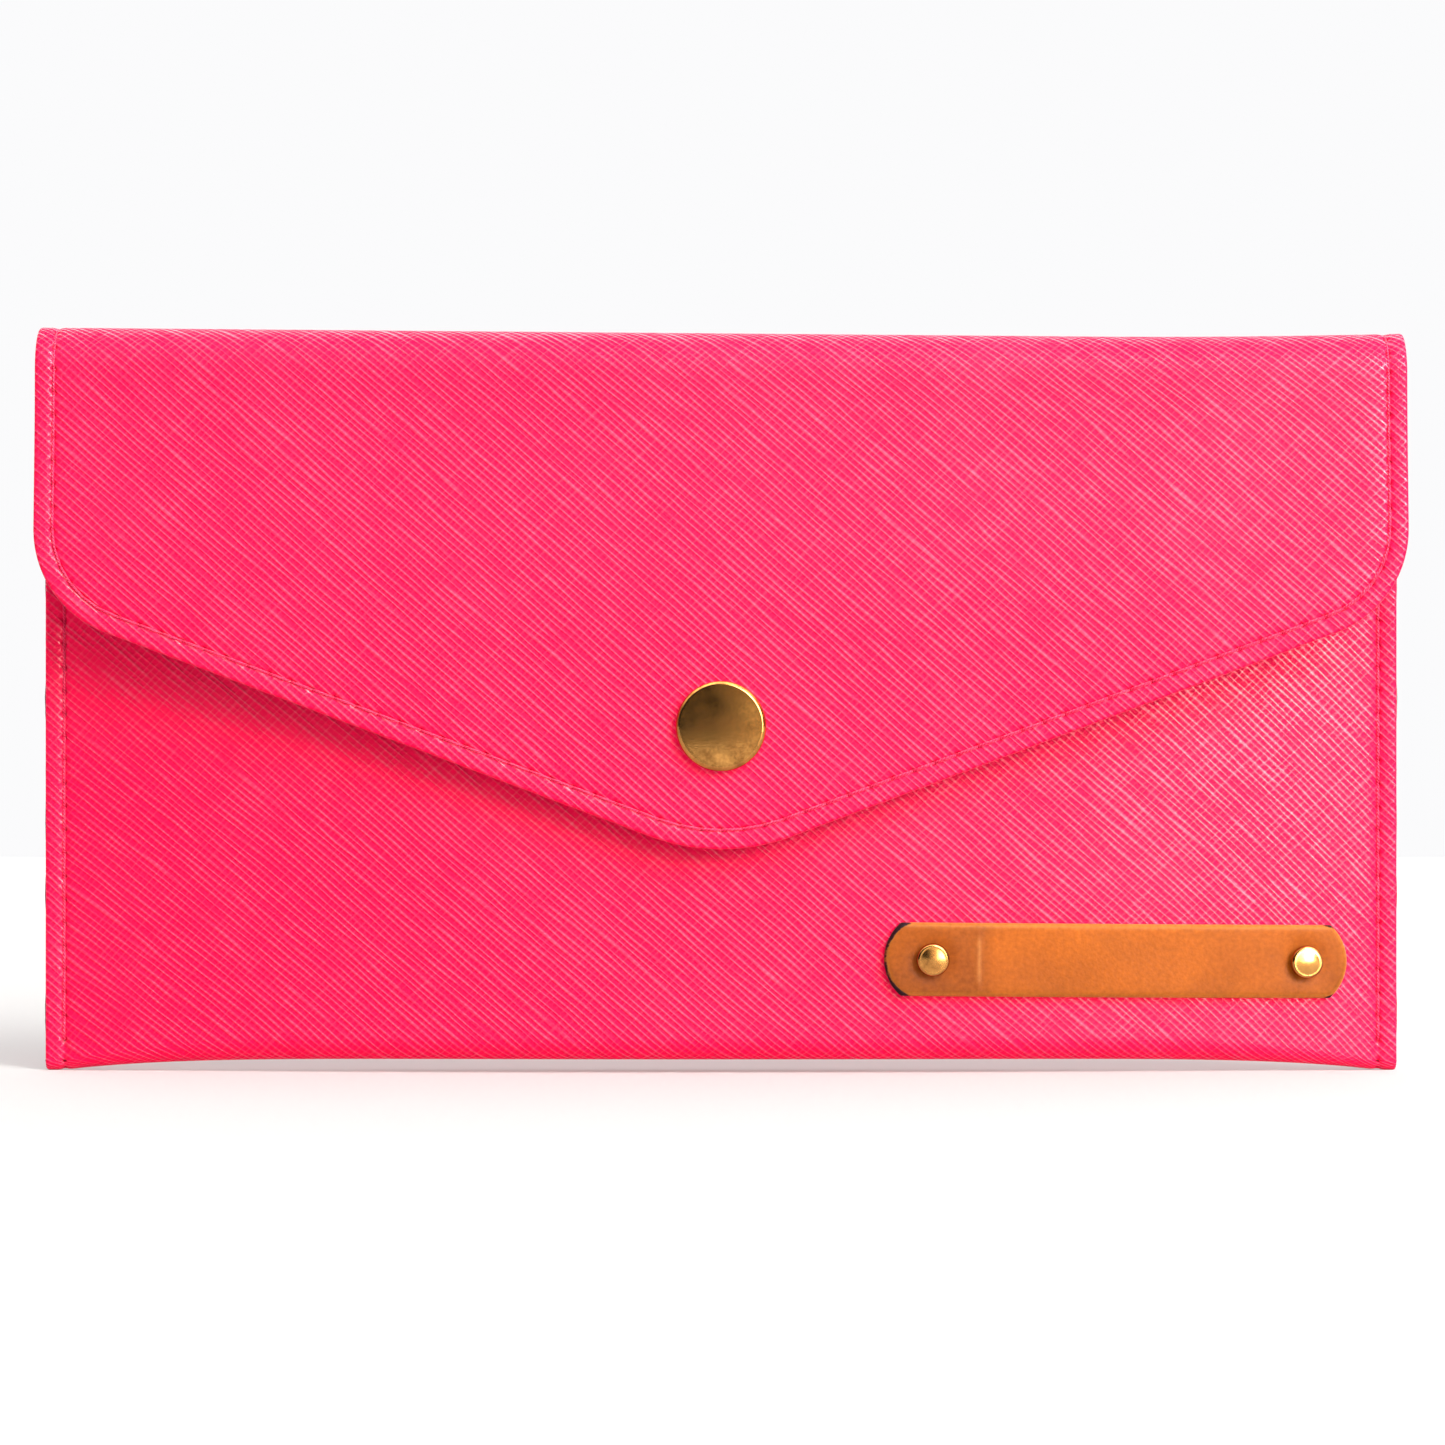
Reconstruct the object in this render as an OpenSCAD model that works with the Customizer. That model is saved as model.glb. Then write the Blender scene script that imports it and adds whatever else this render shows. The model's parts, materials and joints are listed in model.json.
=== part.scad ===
// Envelope wallet: a flat pouch with a press-stud flap and a riveted name strap.
// It stands upright on its base. X runs to the right, Y to the back and Z up.
// The origin is the middle of the base, on the plane where the side seams close.

/* [Pouch] */
// Width across the side seams
body_w = 190; // [150:1:230]
// Height from the base to the top of the fold
body_h = 104; // [85:1:130]
// Room inside the pocket at its middle, front to back
pocket_depth = 7.6; // [5:0.1:12]
// How flat the swell of the front is: 2 is a plain curve, more is squarer
swell_power = 2.4; // [2:0.1:4]
// Width of the pressed seam along each side
seam_w = 4; // [3.5:0.5:6]
// Radius of the fold along the front of the base
base_round = 1.6; // [1.5:0.1:4]
// How far the mouth of the pocket lies below the start of the top fold
mouth_gap = 1.8; // [1:0.1:5]

/* [Sheets] */
// Thickness of the embossed leather
leather_t = 1.1; // [0.8:0.05:1.4]
// Thickness of the lining cloth
lining_t = 0.3; // [0.2:0.05:0.5]
// Thickness of the glue between leather and lining
glue_t = 0.05; // [0.03:0.01:0.1]

/* [Flap] */
// How far the tip of the flap hangs below the top of the fold
flap_drop = 72.6; // [60:0.5:80]
// Slope of the flap's two lower edges
flap_angle = 20.5; // [14:0.5:24]
// Radius of the flap's rounded tip
tip_r = 28; // [15:1:40]
// Radius of the flap's two side corners
corner_r = 15.5; // [8:0.5:20]
// How far the flap reaches past the pouch on each side
flap_overhang = 0.2; // [0:0.1:1]
// Gap between the flap and the front at the mouth
flap_clearance = 0.6; // [0.3:0.05:1]

/* [Press stud] */
// Diameter of the cap on the flap
cap_d = 12.5; // [10:0.5:15]
// Height of the cap over the leather
cap_h = 1.7; // [1.2:0.1:2.5]
// How far the middle of the stud lies below the top of the fold
snap_drop = 55.6; // [50:0.2:60]
// Diameter of the hollow shanks that are clenched through the sheets
shank_d = 3.5; // [3:0.1:4]
// Height of the socket and stud together, between flap and front
snap_gap = 3; // [2.8:0.1:4]
// Gap between the cap's and the stud's clenched ends while the flap is shut
stud_clearance = 0.25; // [0.15:0.05:0.4]

/* [Name strap] */
// Length of the strap
strap_l = 65; // [50:1:70]
// Width of the strap, top to bottom
strap_w = 10; // [8:0.5:14]
// Thickness of the strap
strap_t = 1.6; // [1.2:0.1:2]
// How far the middle of the strap lies to the right of the pouch's middle
strap_x = 55.3; // [50:0.1:56]
// Height of the middle of the strap over the base
strap_z = 15.7; // [12:0.1:18]
// Radius of the strap's bowed ends
strap_end_r = 6.6; // [6.6:0.2:12]
// Distance between the two rivets
rivet_pitch = 52; // [40:1:54]
// Diameter of a rivet's head
rivet_d = 4.6; // [4:0.1:6]
// Height of a rivet's head over the strap
rivet_h = 1.6; // [1.2:0.1:2]

/* [Inner pockets] */
// Thickness of the cloth of the inner pockets
pocket_sheet_t = 0.35; // [0.25:0.05:0.4]
// Width of the slip pocket
slip_w = 150; // [120:1:150]
// How far the slip pocket's edge lies below the mouth
slip_drop = 16; // [10:1:20]
// Width of the card pocket, which a seam splits in two
card_w = 116; // [112:1:118]
// How far the card pocket's edge lies below the mouth
card_drop = 28; // [22:1:34]

/* [Stitching] */
// Distance from one stitch to the next
stitch_pitch = 3.2; // [2.8:0.1:4]
// Length of a stitch that shows
stitch_l = 2.5; // [1.8:0.1:2.7]
// Diameter of the thread
thread_d = 0.4; // [0.3:0.05:0.5]
// Distance of the stitching from the edge
stitch_inset = 2.6; // [2:0.1:3]

/* [Hidden] */
$fn = 64;

pink = "#F43468";
thread_pink = "#E8285C";
lining_grey = "#3A393D";
pocket_grey = "#4A494E";
tan_leather = "#D97B36";
old_brass = "#A8803F";
spring_steel = "#C9C4B6";

// Sheets, from the outer face of the leather to the inner face of the lining.
wall = leather_t + glue_t + lining_t;
leather_off = lining_t + glue_t;
body_half = body_w / 2;
flap_half = body_half + flap_overhang;
pocket_half = body_half - seam_w;
lining_setback = 0.1;
swell_steps = 27;
// Overlap of shapes that are joined, reach of a cut past what it cuts, gap between parts that rest.
eps = 0.01;
cut = 1;
part_gap = 0.03;

// The top fold: a half round from the back sheet, over the mouth, to the flap.
fold_in_r = (pocket_depth + wall + flap_clearance) / 2;
fold_r = fold_in_r + wall;
fold_y = -fold_in_r;
fold_z = body_h - fold_r;
// The fold's middle stretch ends this many degrees up from each side, less a slit.
hinge_angle = 45;
hinge_slit = 1.4;
mouth_z = fold_z - mouth_gap;

// The flap, whose inner face swells forward from the fold to the press stud.
front_face_y = -wall - pocket_depth;
flap_top_y = -2 * fold_in_r;
snap_z = body_h - snap_drop;
flap_level_z = snap_z + cap_d;
flap_snap_y = front_face_y - snap_gap;
flap_steps = 8;
fold_steps = 6;
tip_z = body_h - flap_drop;
tip_centre_z = tip_z + tip_r;
corner_x = flap_half - corner_r;
edge_z0 = tip_z - tip_r * (1 / cos(flap_angle) - 1);
corner_z = edge_z0 + tan(flap_angle) * flap_half + corner_r * tan(45 - flap_angle / 2);

// Press stud.
shank_clear = 0.08;
shank_r = shank_d / 2;
shank_wall_t = 0.45;
hole_r = shank_r + shank_clear;
clench_t = 0.2;
clench_r = shank_r + 0.5;
plate_t = 0.35;
socket_r = cap_d / 2 - 0.65;
socket_bead_r = 0.3;
socket_gap = 0.3;
lip_t = 0.35;
cavity_r = shank_r + 1.65;
stud_plate_t = 0.5;
stud_plate_r = socket_r - 0.6;
stud_head_r = shank_r + 0.95;
stud_head_h = 0.8;
stud_bead_r = 0.4;
stud_shoulder = 0.3;
stud_neck_r = shank_r + 0.6;
stud_top = snap_gap - plate_t - 2 * clench_t - 4 * part_gap - stud_clearance;
socket_h = snap_gap - stud_plate_t - socket_gap;
post_r = 4.5;
post_t = 0.7;
post_eye_r = 0.9;
spring_wire_r = 0.2;
spring_r = cavity_r - spring_wire_r - 0.05;
spring_gap = 0.1;
spring_turn = 320;

// Rivets.
rivet_shank_r = 1;
rivet_hole_r = rivet_shank_r + shank_clear;
rivet_round_r = 0.5;
rivet_back_t = 0.8;
// Shares of a back's thickness: how far the shank goes in, and where the pit for it starts.
rivet_grip = 0.6;
rivet_pit = 0.3;
rivet_shank_l = strap_t + wall + rivet_back_t * rivet_grip + 2 * part_gap;

// Threads.
thread_r = thread_d / 2;
thread_off = thread_r + part_gap;
seam_x = body_half - stitch_inset;
seam_end = 1;
// The turns round the fold that have a stitch, and how far the inner ones stand off its curve.
fold_turns = [60, 90, 120];
inner_sag = 0.2;

function swell(x) = 1 - pow(min(1, abs(x) / pocket_half), swell_power);
function front_y(x, inset = 0) = inset - wall - pocket_depth * swell(x);
function front_slope(x) =
    sign(x) * pocket_depth * swell_power * pow(abs(x) / pocket_half, swell_power - 1) / pocket_half;
function front_turn(x) = atan(front_slope(x));
function ease(t) = t * t * (3 - 2 * t);
function flap_y(z) =
    flap_top_y + (flap_snap_y - flap_top_y)
    * ease(max(0, min(1, (fold_z - z) / (fold_z - flap_level_z))));

// Half of the flap's stitch line, from the fold down to the middle of the tip.
corner_line_r = corner_r - stitch_inset;
tip_line_r = tip_r - stitch_inset;
edge_turn = 90 - flap_angle;
corner_end = [corner_x + corner_line_r * cos(edge_turn), corner_z - corner_line_r * sin(edge_turn)];
tip_start = [tip_line_r * cos(edge_turn), tip_centre_z - tip_line_r * sin(edge_turn)];
side_l = fold_z - corner_z;
corner_l = corner_line_r * edge_turn * PI / 180;
edge_l = norm(corner_end - tip_start);
tip_l = tip_line_r * flap_angle * PI / 180;
line_l = side_l + corner_l + edge_l + tip_l;
line_stitches = round(line_l / stitch_pitch);
function on_line(s) =
    s < side_l ? [corner_x + corner_line_r, fold_z - s]
    : s < side_l + corner_l
        ? let (a = (s - side_l) / corner_line_r * 180 / PI)
          [corner_x + corner_line_r * cos(a), corner_z - corner_line_r * sin(a)]
    : s < side_l + corner_l + edge_l
        ? corner_end + (tip_start - corner_end) * (s - side_l - corner_l) / edge_l
    : let (a = flap_angle * (1 - (s - side_l - corner_l - edge_l) / tip_l))
      [tip_line_r * sin(a), tip_centre_z - tip_line_r * cos(a)];

// Places a flat shape drawn in Y and Z, and gives it a width along X.
module along_x(width) {
    rotate([90, 0, 90]) linear_extrude(width, center = true) children();
}

// Places a flat shape drawn in X and Z, and gives it a depth from one Y to another.
module along_y(y0, y1) {
    translate([0, y1, 0]) rotate([90, 0, 0]) linear_extrude(y1 - y0) children();
}

// Turns a lathe shape so that it points forward, at a spot on the front.
module facing_front(x, y, z, turn = 0) {
    translate([x, y, z]) rotate([0, 0, turn]) rotate([90, 0, 0]) children();
}

// A round bar between two points.
module rod(from, to) {
    run = to - from;
    length = norm(run);
    translate(from) rotate([0, acos(run.z / length), atan2(run.y, run.x)])
        cylinder(h = length, r = thread_r, $fn = 16);
}

// A ring's sector, from one angle to another.
module sector(r_in, r_out, a0, a1) {
    reach = 2 * r_out;
    middle = (a0 + a1) / 2;
    intersection() {
        difference() {
            circle(r_out);
            circle(r_in);
        }
        polygon([[0, 0], reach * [cos(a0), sin(a0)], reach * [cos(middle), sin(middle)],
                 reach * [cos(a1), sin(a1)]]);
    }
}

// The pouch's plan, taken in from its outer faces: flat at the back, swollen at the front.
module pouch_plan(inset, half) {
    step = 2 * pocket_half / swell_steps;
    front = [for (i = [0:swell_steps]) let (x = i * step - pocket_half) [x, front_y(x, inset)]];
    seam_y = wall - inset;
    polygon(seam_y > eps
        ? concat([[-half, seam_y], [-half, -seam_y]], front, [[half, -seam_y], [half, seam_y]])
        : front);
}

// The pouch's side view, with the fold of the base rounded at the front.
module pouch_side(inset, top) {
    y0 = front_face_y + inset;
    y1 = wall - inset;
    r = base_round - inset > eps ? base_round - inset : eps;
    translate([y0 + r, inset]) square([y1 - y0 - r, top - inset]);
    translate([y0, inset + r]) square([y1 - y0, top - inset - r]);
    translate([y0 + r, inset + r]) circle(r);
}

// The pouch as a closed block, taken in from its outer faces.
module pouch_block(inset, half, top) {
    intersection() {
        linear_extrude(top) pouch_plan(inset, half);
        along_x(3 * body_w) pouch_side(inset, top);
    }
}

// One sheet of the back over the mouth, and its first stretch of the fold.
module back_head(off, thickness, half) {
    along_x(2 * half) {
        translate([off, mouth_z]) square([thickness, fold_z - mouth_z]);
        translate([fold_y, fold_z])
            sector(fold_in_r + off, fold_in_r + off + thickness, 0, hinge_angle - hinge_slit);
    }
}

// One sheet of the fold's middle stretch.
module fold_sheet(off, thickness, half) {
    along_x(2 * half) translate([fold_y, fold_z])
        sector(fold_in_r + off, fold_in_r + off + thickness,
               hinge_angle + hinge_slit, 180 - hinge_angle - hinge_slit);
}

// The flap's outline, seen from the front. A trim takes in its edge.
module flap_outline(trim) {
    half = flap_half - trim;
    rc = corner_r - trim;
    rt = tip_r - trim;
    corner = [corner_x + rc * cos(edge_turn), corner_z - rc * sin(edge_turn)];
    tip = [rt * cos(edge_turn), tip_centre_z - rt * sin(edge_turn)];
    polygon([[-half, body_h], [-half, corner_z], [-corner.x, corner.y], [-tip.x, tip.y],
             tip, corner, [half, corner_z], [half, body_h]]);
    translate([0, tip_centre_z]) circle(rt, $fn = 128);
    for (side = [-1, 1]) translate([side * corner_x, corner_z]) circle(rc);
}

// The flap's side line, from its hinge round the fold and down to below its tip.
flap_turns = [for (i = [0:fold_steps - 1])
    180 - (hinge_angle - hinge_slit) * (1 - i / fold_steps)];
flap_levels = concat(
    [for (i = [0:flap_steps]) fold_z + i * (flap_level_z - fold_z) / flap_steps],
    [tip_z - cut]);
function flap_line(off) = concat(
    [for (a = flap_turns) [fold_y + (fold_in_r + off) * cos(a), fold_z + (fold_in_r + off) * sin(a)]],
    [for (z = flap_levels) [flap_y(z) - off, z]]);
function backwards(points) = [for (i = [len(points) - 1:-1:0]) points[i]];

// One sheet of the flap with its last stretch of the fold.
module flap_sheet(off, thickness, trim = 0) {
    intersection() {
        along_x(2 * flap_half)
            polygon(concat(flap_line(off), backwards(flap_line(off + thickness))));
        along_y(4 * flap_snap_y, wall) flap_outline(trim);
    }
}

// The two rivets' places, with the way each one leans.
module at_rivets(depth) {
    for (side = [-1, 1]) {
        x = strap_x + side * rivet_pitch / 2;
        facing_front(x, front_y(x), strap_z, front_turn(x)) translate([0, 0, depth]) children();
    }
}

module front_holes() {
    facing_front(0, 0, snap_z) cylinder(h = 4 * pocket_depth, r = hole_r);
    at_rivets(-wall - cut) cylinder(h = wall + strap_t + 2 * cut, r = rivet_hole_r);
}

// Front, base fold and back in one sheet, open at the top.
module pouch_leather() {
    color(pink) difference() {
        union() {
            difference() {
                pouch_block(0, body_half, mouth_z);
                pouch_block(leather_t, body_half + cut, mouth_z + cut);
            }
            back_head(leather_off, leather_t, body_half);
        }
        front_holes();
    }
}

module pouch_lining() {
    half = body_half - lining_setback;
    color(lining_grey) difference() {
        union() {
            difference() {
                pouch_block(leather_t + glue_t, half, mouth_z);
                pouch_block(wall, pocket_half, mouth_z + cut);
            }
            back_head(0, lining_t, half);
        }
        front_holes();
    }
}

// An inner pocket's sheet lies flat against the back lining. Its order counts from the back.
function sheet_face(order) = -order * (part_gap + pocket_sheet_t);
sheet_base = wall + base_round;

module pocket_sheet(order, width, drop) {
    translate([-width / 2, sheet_face(order), sheet_base])
        cube([width, pocket_sheet_t, mouth_z - drop - sheet_base]);
}

module slip_pocket() { color(pocket_grey) pocket_sheet(1, slip_w, slip_drop); }
module card_pocket() { color(pocket_grey) pocket_sheet(2, card_w, card_drop); }

// Stitches down the card pocket's middle and its two sides.
module pocket_thread() {
    y = sheet_face(2) - thread_off;
    low = sheet_base + stitch_inset;
    count = floor((mouth_z - card_drop - stitch_inset - low) / stitch_pitch);
    color(lining_grey)
        for (x = [-1, 0, 1] * (card_w / 2 - stitch_inset), i = [0:count - 1]) {
            z = low + i * stitch_pitch;
            rod([x, y, z], [x, y, z + stitch_l]);
        }
}

// Stitches up one side seam, on its front and on its back.
module seam_thread(side) {
    count = floor((mouth_z - stitch_inset - seam_end) / stitch_pitch);
    color(thread_pink)
        for (i = [0:count - 1], y = [-wall - thread_off, wall + thread_off]) {
            z = stitch_inset + i * stitch_pitch;
            rod([side * seam_x, y, z], [side * seam_x, y, z + stitch_l]);
        }
}

module left_seam_thread() { seam_thread(-1); }
module right_seam_thread() { seam_thread(1); }

// Stitches along the mouth's turned edge, across the front.
module mouth_thread() {
    count = floor(2 * (pocket_half - stitch_inset) / stitch_pitch);
    z = mouth_z - stitch_inset;
    color(thread_pink)
        for (i = [0:count - 1]) {
            x0 = (i - count / 2) * stitch_pitch;
            x1 = x0 + stitch_l;
            rod([x0, front_y(x0) - thread_off, z], [x1, front_y(x1) - thread_off, z]);
        }
}

// Stud on the front, with a head that the socket grips.
module snap_stud() {
    color(old_brass) facing_front(0, front_face_y - part_gap, snap_z) rotate_extrude()
        difference() {
            union() {
                square([stud_plate_r, stud_plate_t]);
                square([stud_neck_r, stud_top]);
                translate([0, stud_top - stud_head_h])
                    square([stud_head_r - stud_shoulder, stud_head_h]);
                translate([stud_head_r - stud_bead_r, stud_top - stud_bead_r])
                    circle(stud_bead_r, $fn = 24);
            }
            translate([-eps, -cut]) square([hole_r + eps, stud_top + 2 * cut]);
            translate([-cut, stud_top]) square([2 * stud_head_r, cut]);
        }
}

// Hollow post inside the pocket, clenched over the stud's head.
module snap_post() {
    base = front_face_y + wall + part_gap;
    reach = wall + 2 * part_gap + stud_top;
    bore_r = shank_r - shank_wall_t;
    color(old_brass) facing_front(0, base, snap_z) rotate_extrude() {
        translate([post_eye_r, -post_t]) square([post_r - post_eye_r - post_t / 2, post_t]);
        translate([post_r - post_t / 2, -post_t / 2]) circle(post_t / 2, $fn = 24);
        translate([bore_r, -post_t]) square([shank_wall_t, post_t + reach + part_gap]);
        translate([bore_r, reach + part_gap]) square([clench_r - bore_r, clench_t]);
    }
}

// Cap on the flap: a shallow drawn shell with a rolled rim, and its clenched shank.
module snap_cap() {
    face = flap_snap_y - wall - part_gap;
    reach = wall + plate_t + 3 * part_gap;
    rim_r = cap_h / 2;
    bore_r = shank_r - shank_wall_t;
    color(old_brass) facing_front(0, face, snap_z) rotate_extrude($fn = 96) {
        square([cap_d / 2 - rim_r, cap_h]);
        translate([cap_d / 2 - rim_r, rim_r]) circle(rim_r, $fn = 32);
        translate([bore_r, -reach]) square([shank_wall_t, reach + eps]);
        translate([bore_r, -reach - clench_t]) square([clench_r - bore_r, clench_t]);
    }
}

// Socket under the flap: a plate, a wall and a lip that holds the spring in.
module snap_socket() {
    rim_r = socket_r - socket_bead_r;
    color(old_brass) facing_front(0, flap_snap_y + part_gap, snap_z) mirror([0, 0, 1])
        rotate_extrude() {
            translate([hole_r, 0]) square([rim_r - hole_r, plate_t]);
            translate([cavity_r, 0]) square([rim_r - cavity_r, socket_h]);
            translate([cavity_r - lip_t, socket_h - lip_t]) square([socket_r - cavity_r, lip_t]);
            translate([rim_r, socket_h - lip_t]) circle(socket_bead_r, $fn = 24);
        }
}

// Split ring in the socket that grips the stud's head.
module snap_spring() {
    depth = socket_h - lip_t - spring_wire_r - spring_gap;
    start = 90 + (360 - spring_turn) / 2;
    color(spring_steel) facing_front(0, flap_snap_y + part_gap, snap_z) mirror([0, 0, 1])
        translate([0, 0, depth]) rotate([0, 0, start]) rotate_extrude(angle = spring_turn)
            translate([spring_r, 0]) circle(spring_wire_r, $fn = 16);
}

// Strap with bowed ends, bent to the swell of the front.
module strap_outline() {
    bow = strap_end_r - sqrt(pow(strap_end_r, 2) - pow(strap_w / 2, 2));
    straight = strap_l - 2 * bow;
    translate([strap_x, strap_z]) {
        square([straight, strap_w], center = true);
        for (side = [-1, 1]) intersection() {
            translate([side * (strap_l / 2 - strap_end_r), 0]) circle(strap_end_r);
            square([strap_l + cut, strap_w], center = true);
        }
    }
}

module name_strap() {
    steps = 12;
    x0 = strap_x - strap_l / 2 - cut;
    run = min(strap_l + 2 * cut, body_half - x0) / steps;
    color(tan_leather) difference() {
        intersection() {
            linear_extrude(strap_z + strap_w) polygon(concat(
                [for (i = [0:steps]) let (x = x0 + i * run) [x, front_y(x) - 2 * part_gap]],
                [for (i = [steps:-1:0]) let (x = x0 + i * run)
                    [x, front_y(x) - 2 * part_gap - strap_t]]));
            along_y(4 * front_face_y, wall) strap_outline();
        }
        at_rivets(-cut) cylinder(h = strap_t + 4 * cut, r = rivet_hole_r);
    }
}

// Rivet heads over the strap, each with its shank.
module strap_rivets() {
    r = rivet_d / 2;
    round_r = rivet_round_r;
    seat = strap_t + 4 * part_gap;
    color(old_brass) at_rivets(seat) rotate_extrude() {
        square([r - round_r, rivet_h]);
        square([r, rivet_h - round_r]);
        translate([r - round_r, rivet_h - round_r]) circle(round_r, $fn = 24);
        translate([0, -rivet_shank_l]) square([rivet_shank_r, rivet_shank_l + eps]);
    }
}

// Rivet backs inside the pocket, each gripping a shank.
module strap_rivet_backs() {
    r = rivet_d / 2;
    color(old_brass) at_rivets(-wall - 3 * part_gap - rivet_back_t) rotate_extrude()
        difference() {
            union() {
                square([r - rivet_back_t / 2, rivet_back_t]);
                translate([r - rivet_back_t / 2, rivet_back_t / 2])
                    circle(rivet_back_t / 2, $fn = 24);
            }
            translate([-eps, rivet_back_t * rivet_pit])
                square([rivet_hole_r + eps, rivet_back_t]);
        }
}

module fold_leather() { color(pink) fold_sheet(leather_off, leather_t, flap_half); }
module fold_lining() { color(lining_grey) fold_sheet(0, lining_t, flap_half - lining_setback); }

// Stitches over the fold's two ends, outside and inside.
module fold_thread() {
    color(thread_pink)
        for (side = [-1, 1], turn = fold_turns,
             r = [fold_r + thread_off, fold_in_r - thread_off - inner_sag])
            translate([side * seam_x, fold_y, fold_z]) rotate([turn, 0, 0]) translate([0, r, 0])
                cylinder(h = stitch_l * r / fold_r, r = thread_r, center = true, $fn = 16);
}

module flap_leather() {
    color(pink) difference() {
        flap_sheet(leather_off, leather_t);
        facing_front(0, 0, snap_z) cylinder(h = 4 * pocket_depth, r = hole_r);
    }
}

module flap_lining() {
    color(lining_grey) difference() {
        flap_sheet(0, lining_t, lining_setback);
        facing_front(0, 0, snap_z) cylinder(h = 4 * pocket_depth, r = hole_r);
    }
}

// Stitches round the flap, outside and inside.
module flap_thread() {
    pitch = line_l / line_stitches;
    color(thread_pink)
        for (side = [-1, 1], i = [0:line_stitches - 1], off = [-wall - thread_off, thread_off]) {
            a = on_line((i + 0.5) * pitch - stitch_l / 2);
            b = on_line((i + 0.5) * pitch + stitch_l / 2);
            rod([side * a.x, flap_y(a.y) + off, a.y], [side * b.x, flap_y(b.y) + off, b.y]);
        }
}

pouch_leather();
pouch_lining();
slip_pocket();
card_pocket();
pocket_thread();
left_seam_thread();
right_seam_thread();
mouth_thread();
snap_stud();
snap_post();
name_strap();
strap_rivets();
strap_rivet_backs();
fold_leather();
fold_lining();
fold_thread();
flap_leather();
flap_lining();
flap_thread();
snap_cap();
snap_socket();
snap_spring();
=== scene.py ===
"""An envelope clutch wallet: its leather, lining, stitching, press stud and name strap.

Lengths are in metres wherever a docstring gives no unit.
"""

import json
import logging
import math
from collections.abc import Callable, Mapping, Sequence
from dataclasses import dataclass, field
from enum import Enum
from functools import partial

import bpy
import numpy as np
from bpy.types import ID, Material, Mesh, Node, NodeSocket, NodeTree, Object
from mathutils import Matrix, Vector
from mathutils.geometry import delaunay_2d_cdt


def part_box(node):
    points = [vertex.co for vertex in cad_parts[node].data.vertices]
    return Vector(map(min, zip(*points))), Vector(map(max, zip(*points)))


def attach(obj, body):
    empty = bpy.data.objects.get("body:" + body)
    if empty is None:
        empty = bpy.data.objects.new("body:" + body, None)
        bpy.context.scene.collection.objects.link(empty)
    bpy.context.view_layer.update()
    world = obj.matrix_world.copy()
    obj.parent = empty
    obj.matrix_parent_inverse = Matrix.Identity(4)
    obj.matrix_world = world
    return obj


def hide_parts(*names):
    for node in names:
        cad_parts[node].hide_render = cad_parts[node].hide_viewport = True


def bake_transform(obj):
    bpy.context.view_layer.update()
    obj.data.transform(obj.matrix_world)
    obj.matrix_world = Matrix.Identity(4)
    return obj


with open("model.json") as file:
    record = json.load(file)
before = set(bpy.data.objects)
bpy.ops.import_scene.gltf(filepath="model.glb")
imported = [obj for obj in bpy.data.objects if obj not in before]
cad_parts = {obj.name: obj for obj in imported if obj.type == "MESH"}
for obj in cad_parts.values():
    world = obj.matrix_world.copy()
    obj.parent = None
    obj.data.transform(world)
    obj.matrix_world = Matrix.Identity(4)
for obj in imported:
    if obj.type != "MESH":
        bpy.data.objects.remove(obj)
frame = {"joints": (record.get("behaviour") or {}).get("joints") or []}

MM = 0.001
TINY = 1e-6
MATH, MIX, RANGE, NOISE = ("ShaderNode" + kind for kind in ("Math", "Mix", "MapRange", "TexNoise"))
FIRST, SECOND = 6, 7  # the two colours of a Mix node
log = logging.getLogger("wallet")

Array = np.ndarray
Surface = Callable[[Array, Array], Array]
Feed = Node | NodeSocket | float | int | str | tuple | ID
Adder = Callable[..., Node]


def linear(hex_code: str) -> tuple[float, float, float, float]:
    """Turns an sRGB colour into the linear one that a shader takes.

    Args:
        hex_code: Six hex digits, with or without a leading hash.

    Returns:
        Red, green, blue and an alpha of 1.
    """
    digits = hex_code.lstrip("#")
    parts = [int(digits[i : i + 2], 16) / 255 for i in (0, 2, 4)]
    red, green, blue = (c / 12.92 if c <= 0.04045 else ((c + 0.055) / 1.055) ** 2.4 for c in parts)
    return red, green, blue, 1.0


def feed(tree: NodeTree, node: Node, inputs: Mapping[str | int, Feed]) -> None:
    """Fills a node's inputs.

    Args:
        tree: The tree that the node is in.
        node: The node.
        inputs: For each input, what fills it: a socket, a node, whose first output in use is
            taken, or a value.
    """
    for key, value in inputs.items():
        if isinstance(value, Node):
            value = next(socket for socket in value.outputs if socket.enabled)
        if isinstance(value, NodeSocket):
            tree.links.new(value, node.inputs[key])
        else:
            node.inputs[key].default_value = value


def add_node(
    tree: NodeTree, kind: str, inputs: Mapping[str | int, Feed] | None = None, **settings: object
) -> Node:
    """Adds a node to a tree, with its settings and its inputs.

    Args:
        tree: The tree that the node goes in.
        kind: The node's type.
        inputs: What fills each input.
        **settings: The node's own properties.

    Returns:
        The new node.
    """
    node = tree.nodes.new(kind)
    for name, value in settings.items():
        setattr(node, name, value)
    feed(tree, node, inputs or {})
    return node


def smooth_step(t: Array | float) -> Array | float:
    """Eases from 0 to 1 while t goes from 0 to 1."""
    t = np.clip(t, 0, 1)
    return t * t * (3 - 2 * t)


# ----- Finishes -----


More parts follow.
